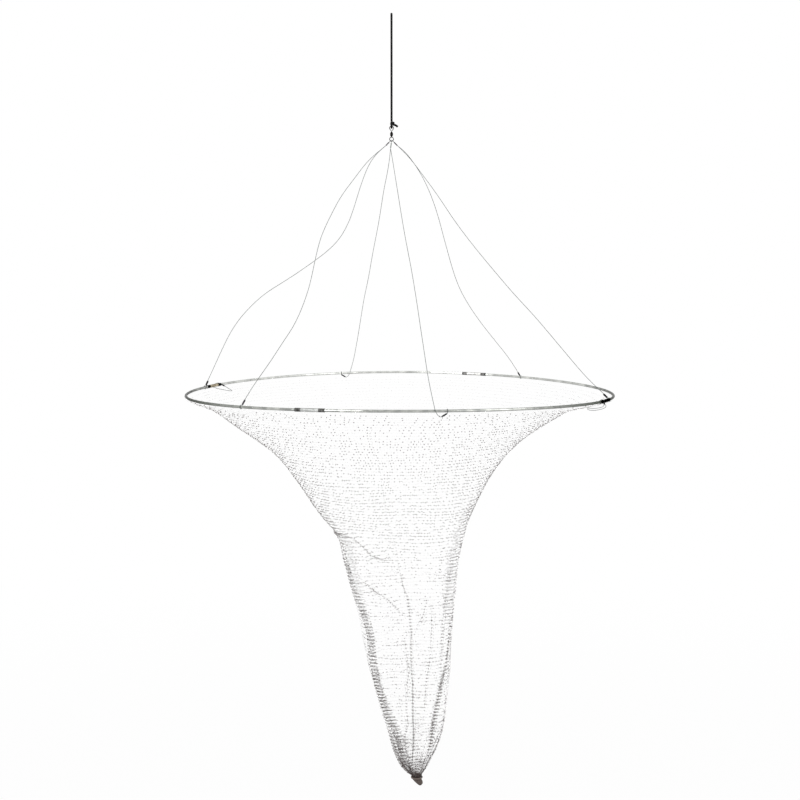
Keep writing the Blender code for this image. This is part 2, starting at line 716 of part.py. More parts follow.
def make_hoop(hoop):
    """Four rod sections, the tubes that their ends meet in, and a collar at each tube's ends."""
    for name, corners in zip(SECTION_NAMES, HOOP_SECTIONS):
        points = [point for _, point in corners]
        place(tube_curve(points, ROD_RADIUS, 3), f"hoop_section_{name}", "rod", hoop)
    half_tube = arc_degrees(COUPLING_LENGTH / 2)
    collar_start = arc_degrees(COUPLING_LENGTH / 2 + TOUCH_GAP)
    collar_end = collar_start + arc_degrees(COLLAR_LENGTH)
    for name, angle in COUPLING_ANGLES.items():
        ends = (angle - half_tube, angle, angle + half_tube)
        sleeve_tube(f"hoop_coupling_{name}", "coupling", hoop, ends)
        for number, side in enumerate((-1.0, 1.0), 1):
            ends = (angle + side * collar_start, angle + side * collar_end)
            sleeve_tube(f"coupling_collar_{name}_{number}", "collar", hoop, sorted(ends))


def sleeve_tube(name, material, hoop, angles):
    """A hollow tube that runs along the hoop outside the rod."""
    tube = tube_curve([hoop_point(angle) for angle in angles], COUPLING_RADIUS, 4, capped=False)
    wall = tube.modifiers.new("wall", "SOLIDIFY")
    wall.thickness = COUPLING_WALL
    wall.offset = -1.0
    wall.use_even_offset = True
    place(tube, name, material, hoop)


def tether_wrap(angle, wrap):
    """The turn that a tether takes round a coupling, slanting along the rod as it goes."""
    first, last, along_first, along_last = wrap
    points = []
    for step in range(TETHER_WRAP_STEPS + 1):
        share = step / TETHER_WRAP_STEPS
        turn = math.radians(first + (last - first) * share)
        along = along_first + (along_last - along_first) * share
        points.append(beside_hoop(
            angle, along, TETHER_WRAP_RADIUS * math.cos(turn), TETHER_WRAP_RADIUS * math.sin(turn)
        ))
    return points


def make_tether(name, angle, sleeve_ends, route, wrap, hoop):
    """A small loop of line hung on a coupling, its two ends side by side in one sleeve."""
    near, far = (beside_hoop(angle, *offsets) for offsets in sleeve_ends)
    axis = (far - near).normalized()
    apart = hoop_tangent(angle)
    apart = (apart - apart.dot(axis) * axis).normalized()
    mouth, tip = near - LINE_LEAD * axis, far + LINE_LEAD * axis
    out_strand = [point - STRAND_OFFSET * apart for point in (mouth, tip)]
    back_strand = [point + STRAND_OFFSET * apart for point in (mouth, tip)]
    middle = [beside_hoop(angle, *offsets) for offsets in route]
    around = tether_wrap(angle, wrap)
    run = smooth_route([out_strand[1], *middle, around[0]], 3 * len(middle))
    points = [out_strand[0], *run, *around[1:], *back_strand]
    place(tube_curve(points, LINE_RADIUS), f"tether_loop_{name}", "mono", hoop)
    oval_sleeve(f"tether_crimp_{name}", near, far, apart, "crimp", hoop)
    length = sum((end - start).length for start, end in zip(points, points[1:]))
    print(f"tether_loop_{name}: {len(points)} points, {length:.3f} m")


def net_section(drop_share):
    """The depth share and the squareness of the net's cross-section at this level."""
    for (high, depth, square), (low, next_depth, next_square) in zip(
        NET_SECTION_SHARES, NET_SECTION_SHARES[1:]
    ):
        if drop_share <= low:
            share = (drop_share - high) / (low - high)
            return depth + (next_depth - depth) * share, square + (next_square - square) * share
    return NET_SECTION_SHARES[-1][1:]


def net_ring(drop_share, radius_share, sway_share, proud):
    """One level of the net's outline, which follows the hoop's droop near the rod.

    Proud is how far outside the net's inner face the ring lies.
    """
    drop = NET_LENGTH * drop_share
    level = max(0.0, 1.0 - drop / NET_LEVEL_DEPTH)
    depth_share, square = net_section(drop_share)
    power = ROUND_POWER + (SQUARE_POWER - ROUND_POWER) * square
    ring = []
    for sector in range(NET_SECTORS):
        turn = 2 * math.pi * sector / NET_SECTORS
        across, deep = math.cos(turn), math.sin(turn)
        stretch = (abs(across) ** power + abs(deep) ** power) ** (-1.0 / power)
        ring.append(Vector((
            HOOP_OFFSET + NET_SWAY * sway_share + (HOOP_RADIUS * radius_share + proud) * stretch * across,
            (HOOP_RADIUS * radius_share * depth_share + proud) * stretch * deep,
            NET_TOP - drop - HOOP_DROOP * level * across ** 2,
        )))
    return ring


def bar_share(length):
    """The share of a cell's side that half a bar takes at each end."""
    return min(max(NET_BAR_WIDTH / 2 / length, LEAST_BAR_SHARE), MOST_BAR_SHARE)


def opening_in(cell):
    """The corners of the opening in a cell, from the cell's corners in order."""
    first, second, third, fourth = cell
    side = bar_share((second - first).length + (third - fourth).length)
    end = bar_share((fourth - first).length)
    return [
        first.lerp(second, 2 * side).lerp(fourth.lerp(third, 2 * side), end),
        second.lerp(first, 2 * side).lerp(third.lerp(fourth, 2 * side), end),
        third.lerp(fourth, 2 * side).lerp(second.lerp(first, 2 * side), end),
        fourth.lerp(third, 2 * side).lerp(first.lerp(second, 2 * side), end),
    ]


def make_net(hoop):
    """The bag as one thin skin with a coarse grid of openings, open at the hoop and at its tied end."""
    data = bpy.data.meshes.new("net")
    shape = bmesh.new()
    faces_out = [net_ring(*shares, NET_WALL) for shares in NET_OUTLINE_SHARES]
    faces_in = [net_ring(*shares, 0.0) for shares in NET_OUTLINE_SHARES]
    corners = [
        [[shape.verts.new(point) for point in ring] for ring in rings] for rings in (faces_out, faces_in)
    ]
    for level in range(len(NET_OUTLINE_SHARES) - 1):
        closed = NET_OUTLINE_SHARES[level + 1][1] < OPEN_RADIUS_SHARE
        for sector in range(NET_SECTORS):
            after = (sector + 1) % NET_SECTORS
            holes = []
            for side, rows in enumerate(corners):
                upper, lower = rows[level], rows[level + 1]
                cell = [upper[sector], upper[after], lower[after], lower[sector]]
                if closed:
                    shape.faces.new(cell if side else list(reversed(cell)))
                    continue
                hole = [shape.verts.new(point) for point in opening_in([corner.co for corner in cell])]
                for edge in range(4):
                    turn = (edge + 1) % 4
                    quad = (cell[edge], cell[turn], hole[turn], hole[edge])
                    shape.faces.new(quad if side else tuple(reversed(quad)))
                holes.append(hole)
            if holes:
                for edge in range(4):
                    turn = (edge + 1) % 4
                    shape.faces.new((holes[0][edge], holes[0][turn], holes[1][turn], holes[1][edge]))
    for level in (0, -1):
        for sector in range(NET_SECTORS):
            after = (sector + 1) % NET_SECTORS
            shape.faces.new((
                corners[0][level][sector], corners[0][level][after],
                corners[1][level][after], corners[1][level][sector],
            ))
    bmesh.ops.recalc_face_normals(shape, faces=shape.faces)
    shape.to_mesh(data)
    shape.free()
    item = bpy.data.objects.new("net", data)
    place(smooth_shaded(item, 60.0), "net", "net", hoop)


def make_tail(tail):
    """The tie round the net's gathered end, and the bunched net inside and below it."""
    end_radius = HOOP_RADIUS * NET_OUTLINE_SHARES[-1][1]
    end = Vector((HOOP_OFFSET + NET_SWAY * NET_OUTLINE_SHARES[-1][2], 0.0, NET_TOP - NET_LENGTH))
    neck_radius = end_radius - TOUCH_GAP
    tie_radius = end_radius + NET_WALL + TOUCH_GAP
    rings = [[
        (end.x + neck_radius * math.cos(turn), neck_radius * math.sin(turn), end.z + TUFT_NECK_LENGTH)
        for turn in [2 * math.pi * side / ROUND_SIDES for side in range(ROUND_SIDES)]
    ]]
    for drop_share, radius_share, lean_share in TUFT_OUTLINE_SHARES:
        ring = []
        for side in range(ROUND_SIDES):
            turn = 2 * math.pi * side / ROUND_SIDES
            ring.append((
                end.x + TUFT_LEAN * lean_share + neck_radius * radius_share * math.cos(turn),
                neck_radius * radius_share * math.sin(turn),
                end.z - TUFT_LENGTH * drop_share,
            ))
        rings.append(ring)
    place(smooth_shaded(lofted(rings, ROUND_SIDES, True), 60.0), "net_tuft", "tie", tail)
    cord_radius = TIE_CORD_DIAMETER / 2
    tie = turned([
        (tie_radius, 0.0),
        (tie_radius, TIE_TURNS_HEIGHT),
        (tie_radius + cord_radius, TIE_TURNS_HEIGHT),
        (tie_radius + TIE_CORD_DIAMETER, TIE_TURNS_HEIGHT - cord_radius),
        (tie_radius + TIE_CORD_DIAMETER, cord_radius),
        (tie_radius + cord_radius, 0.0),
    ], NET_SECTORS)
    tie = as_mesh(tie)
    tie.location = end
    bpy.context.view_layer.update()
    place(smooth_shaded(tie), "net_tie", "tie", tail)


def build():
    upper_swing = joint_frame("upper_eye_swing", (0.0, 0.0, UPPER_EYE_TOP))
    upper_turn = joint_frame("upper_swivel_turn", (0.0, 0.0, BARREL_TOP), upper_swing)
    lower_turn = joint_frame("lower_swivel_turn", (0.0, 0.0, BARREL_BOTTOM), upper_turn)
    bridle = joint_frame("bridle_swing", (0.0, 0.0, LOWER_EYE_BOTTOM), lower_turn)
    hoop = joint_frame("bridle_slack", (HOOP_OFFSET, 0.0, HOOP_HEIGHT), bridle)
    tail = joint_frame("net_collapse", (HOOP_OFFSET + NET_SWAY, 0.0, NET_TOP - NET_LENGTH), hoop)
    make_rope()
    make_knot()
    make_eye("swivel_upper_eye", UPPER_EYE_CENTRE, UPPER_EYE_TAPER, -1.0, upper_swing)
    make_barrel(upper_turn)
    make_eye("swivel_lower_eye", LOWER_EYE_CENTRE, LOWER_EYE_TAPER, 1.0, lower_turn)
    for name, (first, second, loop_angle, sleeve_lean) in BRIDLE_LINES.items():
        make_bridle_line(name, (first, second), loop_angle, sleeve_lean, bridle, hoop)
    make_hoop(hoop)
    make_tether("left", LEFT_TETHER_ANGLE, LEFT_TETHER_SLEEVE, LEFT_TETHER_ROUTE, LEFT_TETHER_WRAP, hoop)
    make_tether(
        "right", RIGHT_TETHER_ANGLE, RIGHT_TETHER_SLEEVE, RIGHT_TETHER_ROUTE, RIGHT_TETHER_WRAP, hoop
    )
    make_net(hoop)
    make_tail(tail)


build()
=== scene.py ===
"""Looks of the crab hoop net: the camera, the cords, the net's strands, the fittings and the light.

Metres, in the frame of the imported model. +X is right, +Y is away from the viewer, +Z is up.
The origin is the lifting rope's cut top end.
"""

import math

import bpy
import numpy as np
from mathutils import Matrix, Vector


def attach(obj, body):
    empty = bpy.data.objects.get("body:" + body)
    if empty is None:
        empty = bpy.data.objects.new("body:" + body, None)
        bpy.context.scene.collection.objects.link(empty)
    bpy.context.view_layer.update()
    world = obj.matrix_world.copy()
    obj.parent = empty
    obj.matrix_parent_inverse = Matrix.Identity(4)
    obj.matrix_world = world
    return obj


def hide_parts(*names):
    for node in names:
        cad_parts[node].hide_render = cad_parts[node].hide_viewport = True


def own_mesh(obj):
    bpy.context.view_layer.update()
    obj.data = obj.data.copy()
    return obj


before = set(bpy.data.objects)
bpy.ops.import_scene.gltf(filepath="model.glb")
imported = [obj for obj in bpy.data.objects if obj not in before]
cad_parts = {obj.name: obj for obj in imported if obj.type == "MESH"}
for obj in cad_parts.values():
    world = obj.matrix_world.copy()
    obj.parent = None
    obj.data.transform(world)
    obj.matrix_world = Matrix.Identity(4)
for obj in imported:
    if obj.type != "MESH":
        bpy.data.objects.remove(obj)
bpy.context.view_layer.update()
SCENE = bpy.context.scene

# Sizes repeated from the solids
TOUCH_GAP = 0.0003
ROPE_DIAMETER = 0.0046
ROPE_FREE_LENGTH = 0.2238
KNOT_HEIGHT = 0.0092
EYE_WIRE_DIAMETER = 0.0015
EYE_ROUND_RADIUS = 0.0042
UPPER_EYE_TAPER = 0.0071
LOWER_EYE_TAPER = 0.00435
SHANK_NECK = 0.0012
BARREL_LENGTH = 0.0095
LINE_DIAMETER = 0.0010
TOP_LOOP_CLEARANCE = 0.00075
TOP_LOOP_ANGLE = 35.0
LOOP_OPENING = 55.0
TOP_NECK = 0.0045
TOP_CRIMP_LENGTH = 0.0090
HOOP_LOOP_CLEARANCE = 0.0004
HOOP_NECK = 0.0060
HOOP_CRIMP_LENGTH = 0.0100
CRIMP_WALL = 0.0005
LINE_LEAD = 0.0015
BRIDLE_DROP = 0.52425
HOOP_RADIUS = 0.4543
HOOP_OFFSET = 0.0172
HOOP_DROOP = 0.0095
ROD_DIAMETER = 0.0055
ROD_END_GAP = 0.0010
COUPLING_LENGTH = 0.0360
COUPLING_WALL = 0.00055
COLLAR_LENGTH = 0.0120
TURNED_SLEEVE_SLANT = 30.0
TURNED_SLEEVE_ALONG = -0.0022
TURNED_SLEEVE_OUT = 0.0040
TURNED_SLEEVE_DROP = 0.0046
TURNED_FOOT_OUT = 0.0060
TURNED_FOOT_UP = 0.0010
NET_TOP_DROP = 0.0053
NET_LENGTH = 0.8582
NET_SWAY = 0.0400
NET_LEVEL_DEPTH = 0.0300
ROUND_POWER = 2.0
SQUARE_POWER = 3.2
TUFT_LENGTH = 0.0160
TUFT_LEAN = 0.0072
TIE_TURNS_HEIGHT = 0.0050
HOOP_SECTION_STEPS = 20
LOOP_STEPS = 8
LEG_STEPS = 72
LEG_EASING = 130

UPPER_EYE_TOP = -ROPE_FREE_LENGTH - KNOT_HEIGHT
UPPER_EYE_CENTRE = UPPER_EYE_TOP - EYE_ROUND_RADIUS
BARREL_TOP = UPPER_EYE_CENTRE - UPPER_EYE_TAPER - SHANK_NECK
BARREL_BOTTOM = BARREL_TOP - BARREL_LENGTH
LOWER_EYE_CENTRE = BARREL_BOTTOM - SHANK_NECK - LOWER_EYE_TAPER
LOWER_EYE_BOTTOM = LOWER_EYE_CENTRE - EYE_ROUND_RADIUS
HOOP_HEIGHT = LOWER_EYE_BOTTOM - BRIDLE_DROP
NET_TOP = HOOP_HEIGHT - NET_TOP_DROP
NET_END = NET_TOP - NET_LENGTH

ROPE_RADIUS = ROPE_DIAMETER / 2
WIRE_RADIUS = EYE_WIRE_DIAMETER / 2
LINE_RADIUS = LINE_DIAMETER / 2
ROD_RADIUS = ROD_DIAMETER / 2
COUPLING_RADIUS = ROD_RADIUS + TOUCH_GAP + COUPLING_WALL
STRAND_OFFSET = LINE_RADIUS + TOUCH_GAP / 2
CRIMP_HALF_WIDTH = STRAND_OFFSET + LINE_RADIUS + TOUCH_GAP + CRIMP_WALL
CRIMP_HALF_DEPTH = LINE_RADIUS + TOUCH_GAP + CRIMP_WALL
TOP_LOOP_RADIUS = WIRE_RADIUS + TOP_LOOP_CLEARANCE + LINE_RADIUS
HOOP_LOOP_RADIUS = ROD_RADIUS + HOOP_LOOP_CLEARANCE + LINE_RADIUS
TETHER_WRAP_RADIUS = COUPLING_RADIUS + HOOP_LOOP_CLEARANCE + LINE_RADIUS

COUPLING_ANGLES = {
    "front_right": -24.3,
    "back_right": 66.4,
    "back_left": 158.5,
    "front_left": 248.5,
}
LEG_ROUTE_SHARES = {
    "front_left": [
        (0.18, 0.09), (0.28, 0.17), (0.34, 0.21), (0.40, 0.27), (0.44, 0.32), (0.48, 0.36),
        (0.51, 0.41), (0.53, 0.47), (0.55, 0.51), (0.56, 0.56), (0.58, 0.59), (0.61, 0.64),
        (0.64, 0.68), (0.68, 0.73), (0.74, 0.77), (0.79, 0.82), (0.84, 0.86), (0.93, 0.93),
    ],
    "back_left": [
        (0.08, 0.04), (0.12, 0.09), (0.14, 0.13), (0.16, 0.18), (0.18, 0.22), (0.19, 0.26),
        (0.21, 0.30), (0.23, 0.34), (0.27, 0.39), (0.31, 0.42), (0.36, 0.45), (0.49, 0.52),
        (0.57, 0.56), (0.66, 0.60), (0.72, 0.64), (0.77, 0.68), (0.81, 0.71), (0.85, 0.76),
        (0.88, 0.80), (0.91, 0.85), (0.94, 0.90),
    ],
    "back": [
        (0.06, 0.10), (0.16, 0.18), (0.24, 0.28), (0.33, 0.37), (0.42, 0.45), (0.51, 0.55),
        (0.62, 0.64), (0.70, 0.73), (0.77, 0.81), (0.84, 0.88), (0.90, 0.94),
    ],
    "front": [
        (0.04, 0.09), (0.10, 0.15), (0.20, 0.25), (0.29, 0.34), (0.38, 0.42), (0.50, 0.52),
        (0.63, 0.65), (0.71, 0.74), (0.77, 0.80), (0.84, 0.88), (0.90, 0.93),
    ],
    "back_right": [
        (0.09, 0.03), (0.13, 0.06), (0.17, 0.09), (0.21, 0.12), (0.25, 0.17), (0.28, 0.20),
        (0.30, 0.24), (0.33, 0.28), (0.35, 0.33), (0.38, 0.39), (0.41, 0.45), (0.44, 0.51),
        (0.49, 0.59), (0.55, 0.65), (0.62, 0.71), (0.70, 0.77), (0.80, 0.84), (0.90, 0.91),
    ],
    "front_right": [
        (0.06, 0.04), (0.09, 0.07), (0.12, 0.10), (0.14, 0.13), (0.18, 0.17), (0.23, 0.23),
        (0.30, 0.32), (0.41, 0.44), (0.49, 0.52), (0.57, 0.60), (0.66, 0.68), (0.74, 0.76),
        (0.82, 0.84), (0.90, 0.92),
    ],
}
LEG_ANGLES = {"front_left": -131.8, "back": 105.5, "front": -81.9, "back_right": 50.3}
LEG_COLLAR_GAPS = {"back_left": 0.0109, "front_right": 0.0054}
TURNED_SLEEVE_ANGLES = {"back": 108.4, "front": -78.9}
TURNED_ROUTE = [
    (-0.0150, 0.0046, -0.0103),
    (-0.0186, 0.0050, -0.0076),
    (-0.0213, 0.0053, -0.0038),
]
# Each bridle line: its two legs, where its loop and sleeve leave the lower eye, and its length
BRIDLE_LINES = {
    "left": ("front_left", "back_left", -TOP_LOOP_ANGLE, 45.0, 1.491),
    "middle": ("front", "back", 0.0, 8.0, 1.549),
    "right": ("front_right", "back_right", TOP_LOOP_ANGLE, -45.0, 1.506),
}
LEFT_TETHER_ANGLE = 157.15
LEFT_TETHER_SLEEVE = [(-0.0145, -0.0060, 0.0010), (-0.0160, -0.0135, -0.0030)]
LEFT_TETHER_ROUTE = [
    (-0.0185, -0.0200, -0.0070),
    (-0.0215, -0.0265, -0.0110),
    (-0.0222, -0.0300, -0.0135),
    (-0.0200, -0.0305, -0.0140),
    (-0.0140, -0.0260, -0.0130),
    (-0.0040, -0.0170, -0.0100),
    (0.0060, -0.0090, -0.0070),
]
LEFT_TETHER_WRAP = (-140.0, 140.0, 0.0140, -0.0130)
RIGHT_TETHER_ANGLE = -27.2
RIGHT_TETHER_SLEEVE = [(0.0, 0.0062, 0.0035), (-0.0015, 0.0062, -0.0045)]
RIGHT_TETHER_ROUTE = [
    (-0.0070, 0.0058, -0.0085),
    (-0.0250, 0.0050, -0.0100),
    (-0.0500, 0.0040, -0.0095),
    (-0.0700, 0.0020, -0.0075),
    (-0.0755, 0.0025, -0.0080),
    (-0.0720, 0.0050, -0.0110),
    (-0.0500, 0.0070, -0.0130),
    (-0.0200, 0.0085, -0.0125),
    (0.0000, 0.0085, -0.0105),
    (0.0090, 0.0060, -0.0070),
]
RIGHT_TETHER_WRAP = (-75.0, -310.0, 0.0110, 0.0015)
TETHER_WRAP_STEPS = 8

NET_OUTLINE_SHARES = [
    (0.000, 1.000, 0.00), (0.013, 0.939, -0.21), (0.029, 0.868, -0.41), (0.049, 0.808, -0.48),
    (0.084, 0.711, -0.57), (0.113, 0.635, -0.55), (0.148, 0.560, -0.47), (0.177, 0.511, -0.44),
    (0.208, 0.468, -0.42), (0.242, 0.427, -0.36), (0.281, 0.384, -0.28), (0.312, 0.350, -0.17),
    (0.343, 0.317, 0.00), (0.369, 0.296, 0.09), (0.396, 0.283, 0.10), (0.432, 0.272, 0.10),
    (0.476, 0.259, 0.15), (0.520, 0.245, 0.24), (0.563, 0.228, 0.33), (0.642, 0.212, 0.43),
    (0.728, 0.191, 0.59), (0.765, 0.176, 0.66), (0.823, 0.155, 0.77), (0.875, 0.131, 0.86),
    (0.920, 0.105, 0.83), (0.949, 0.080, 0.80), (0.971, 0.058, 0.82), (0.984, 0.037, 0.86),
    (0.993, 0.022, 0.94), (1.000, 0.022, 0.94),
]
NET_SECTION_SHARES = [
    (0.00, 1.00, 0.0), (0.15, 1.00, 0.0), (0.25, 0.94, 0.3), (0.34, 0.83, 0.8), (0.42, 0.75, 1.0),
    (0.85, 0.75, 1.0), (0.97, 1.00, 0.0), (1.00, 1.00, 0.0),
]

# The net's strands
ROW_PITCH = 0.0073
ROW_SPREAD = 0.35
WIDE_COLUMNS = 288
SOCK_START_SHARE = 0.40
ROW_RADIUS = 0.00018
SEAM_RADIUS = 0.00036
KNOT_RADIUS = 0.00118
STRAND_SIDES = 3
# What share of the knots is bold at each share of the net's length down
BOLD_KNOTS = [
    (0.0, 0.32), (0.06, 0.52), (0.30, 0.50), (0.42, 0.20), (0.60, 0.12), (0.85, 0.14), (1.0, 0.28),
]
GATHERED_KNOTS = [(0.0, 1.0), (0.88, 1.0), (0.95, 0.40), (1.0, 0.15)]
COLUMN_RADII = [(0.0, 0.00009), (0.40, 0.00006), (0.82, 0.00006), (0.93, 0.00018), (1.0, 0.00028)]
# How dark the knots, strands, rows and columns show at each share of the net's length down
KNOT_TONES = [(0.0, 0.70), (0.05, 1.3), (0.30, 1.3), (0.45, 1.1), (0.80, 1.1), (1.0, 1.2)]
STRAND_TONES = [(0.0, 0.3), (0.10, 0.6), (0.42, 0.9), (0.70, 1.0), (1.0, 1.0)]
ROW_TONES = [(0.0, 1.0), (0.86, 1.0), (0.95, 0.40), (1.0, 0.30)]
COLUMN_TONES = [(0.0, 0.35), (0.20, 0.25), (0.40, 0.05), (0.80, 0.06), (0.90, 0.50), (1.0, 1.2)]
RIM_PIECE_SHARE = 0.0350
NET_SEED = 41
COLUMN_BUNCH = 0.35
# How much darker the cloth shows where it is folded: down the net, across it, and at its back
FOLD_SHADE = 0.42
CROSS_FOLD_SHADE = 0.5
BACK_SHADE = 0.25
# How much clearer the net's sides show than its front, and what share of that the back regains
SIDE_CLEARNESS = 0.90
BACK_RETURN = 0.45
# How far a fold's layers rise, where the gathering starts, its pleats' depth, and the slack waves
FOLD_RISE = 1.65
GATHER_START = 0.80
PLEAT_DEPTH = 0.085
WAVE_HEIGHT = 0.0012
# How far the crossings stray, in pitches: each on its own, and in drifts with their neighbours
COLUMN_STRAY, COLUMN_DRIFT = 0.12, 0.55
ROW_STRAY, ROW_DRIFT = 0.05, 0.28
SCALLOP = 0.06
# A knot's size from clear to bold, and its spread
KNOT_SIZE_CLEAR, KNOT_SIZE_BOLD, KNOT_SIZE_SPREAD = 0.36, 0.70, 0.15
RIM_LOOP_STEPS, RIM_LOOP_LEAN, RIM_LOOP_GAP = 11, 0.00035, 0.0001

# Folds that run down the net: where (share down, angle), half width in degrees, how far the cloth
# doubles back, and how far its layers stand apart
FOLDS = {
    "left_band": (
        [(0.386, -163.1), (0.442, -149.8), (0.504, -144.8), (0.548, -139.3), (0.611, -134.6),
         (0.662, -136.9), (0.705, -139.0), (0.766, -139.8), (0.819, -136.4), (0.854, -130.9),
         (0.898, -127.3), (0.938, -121.7), (0.971, -112.7)],
        7.0, 2.3, 0.0030,
    ),
    "right_band": (
        [(0.580, -28.0), (0.623, -31.9), (0.683, -38.7), (0.727, -46.9), (0.756, -48.7),
         (0.798, -52.6), (0.849, -57.2), (0.901, -55.6)],
        6.0, 2.3, 0.0030,
    ),
    "right_inner": (
        [(0.396, -39.9), (0.455, -41.9), (0.488, -43.4), (0.529, -46.4), (0.593, -47.9),
         (0.668, -50.5), (0.720, -51.5)],
        2.6, 1.4, 0.0016,
    ),
    "seam_fold": (
        [(0.470, -89.4), (0.509, -85.5), (0.597, -84.8), (0.726, -87.1), (0.966, -98.5)],
        3.2, 1.7, 0.0018,
    ),
    "middle_right": (
        [(0.536, -60.4), (0.591, -60.7), (0.656, -62.3), (0.687, -64.6), (0.721, -68.0),
         (0.800, -72.0)],
        2.6, 1.5, 0.0014,
    ),
    "right_dip": (
        [(0.509, -66.0), (0.548, -69.2), (0.581, -76.8), (0.600, -81.2)],
        2.4, 1.3, 0.0014,
    ),
    "left_inner": (
        [(0.613, -93.3), (0.694, -92.3), (0.780, -100.2), (0.837, -101.9), (0.870, -111.9),
         (0.905, -111.7), (0.936, -107.0)],
        2.6, 1.4, 0.0014,
    ),
    "back_left_fold": (
        [(0.420, 148.0), (0.520, 144.0), (0.640, 141.0), (0.780, 138.0), (0.900, 132.0)],
        6.0, 1.6, 0.0022,
    ),
    "back_middle_fold": (
        [(0.500, 88.0), (0.620, 84.0), (0.760, 86.0), (0.900, 90.0)],
        3.4, 1.1, 0.0014,
    ),
    "back_right_fold": (
        [(0.400, 36.0), (0.520, 39.0), (0.660, 42.0), (0.800, 48.0), (0.920, 56.0)],
        6.0, 1.6, 0.0022,
    ),
}
# Folds that run across: where (angle, share down), half height as a share, and the same two facts
CROSS_FOLDS = [
    ([(-177.0, 0.346), (-130.8, 0.350), (-123.3, 0.375), (-117.5, 0.396), (-104.6, 0.408),
      (-96.3, 0.410)], 0.0070, 1.3, 0.0018),
    ([(-135.6, 0.423), (-127.3, 0.467), (-118.1, 0.489), (-107.5, 0.506), (-95.7, 0.540),
      (-87.2, 0.556)], 0.0070, 1.3, 0.0018),
]
# How dark the lines along each fold's two edges show
FOLD_LINE_TONES = {
    "left_band": 1.0, "right_band": 1.0, "right_inner": 0.55, "seam_fold": 0.55, "middle_right": 0.60,
    "right_dip": 0.55, "left_inner": 0.60,
}
CROSS_LINE_TONE = 0.55
# How dark the random dashes along the rows show at each share of the net's length down
DASH_TONES = [(0.0, 0.0), (0.30, 0.03), (0.45, 0.16), (0.70, 0.26), (1.0, 0.24)]
# Bands along folds, where the cloth lies in several layers: half width in degrees at each share down
BAND_WIDTHS = {
    "left_band": [(0.46, 0.5), (0.56, 3.0), (0.66, 5.0), (0.72, 9.0), (0.86, 15.0), (0.97, 20.0)],
    "right_band": [(0.60, 0.5), (0.66, 3.5), (0.80, 5.0), (0.90, 6.0)],
}
BAND_ROW_RADIUS = 0.00050
BAND_ROW_TILT = 0.00035
BAND_LAYERS = (-0.13, 0.02, 0.15)
BAND_STEPS = 9
BAND_SAG = 0.0009
BAND_SINK = 0.0012
# Paler bands beside the net's left and right edges: their middle angles, and one half width for both
EDGE_BAND_ROUTES = ([(0.28, -148.0), (0.62, -140.0)], [(0.28, -32.0), (0.62, -40.0)])
EDGE_BAND_WIDTHS = [(0.28, 5.0), (0.34, 12.0), (0.50, 13.0), (0.58, 6.0)]
EDGE_BAND_TONE = 0.52
SEAM_WEAVE, SEAM_WEAVE_STEPS, SEAM_LIFT = 0.0011, 17.0, 0.0006
FOLD_LINE_LIFT = 0.0012
FOLD_LINE_WANDER = 0.0009
# How dark the seam shows, and how dark it stays between the rows, at each share down
SEAM_TONES = [(0.0, 0.10), (0.30, 0.22), (0.42, 0.45), (0.60, 0.60), (0.75, 0.85), (1.0, 1.0)]
SEAM_CLOSENESS = [(0.0, 0.0), (0.70, 0.05), (0.76, 0.55), (0.90, 0.45), (0.96, 0.15)]
SEAM_ROUTE = [
    (0.018, -96.6), (0.115, -94.9), (0.239, -95.0), (0.365, -95.4), (0.410, -93.4), (0.470, -89.4),
    (0.509, -85.5), (0.597, -84.8), (0.726, -87.1), (0.966, -98.5), (0.995, -99.0),
]

# Camera
CAMERA_PLACE = (0.0178, -2.9876, -0.5169)
CAMERA_TILT = 5.669
CAMERA_LENS = 62.86


def make_camera():
    data = bpy.data.cameras.new("camera")
    data.lens = CAMERA_LENS
    camera = bpy.data.objects.new("camera", data)
    camera.location = CAMERA_PLACE
    camera.rotation_euler = (math.radians(90.0 - CAMERA_TILT), 0.0, 0.0)
    SCENE.collection.objects.link(camera)
    SCENE.camera = camera
    SCENE.render.resolution_x = 800
    SCENE.render.resolution_y = 800


make_camera()


# Materials

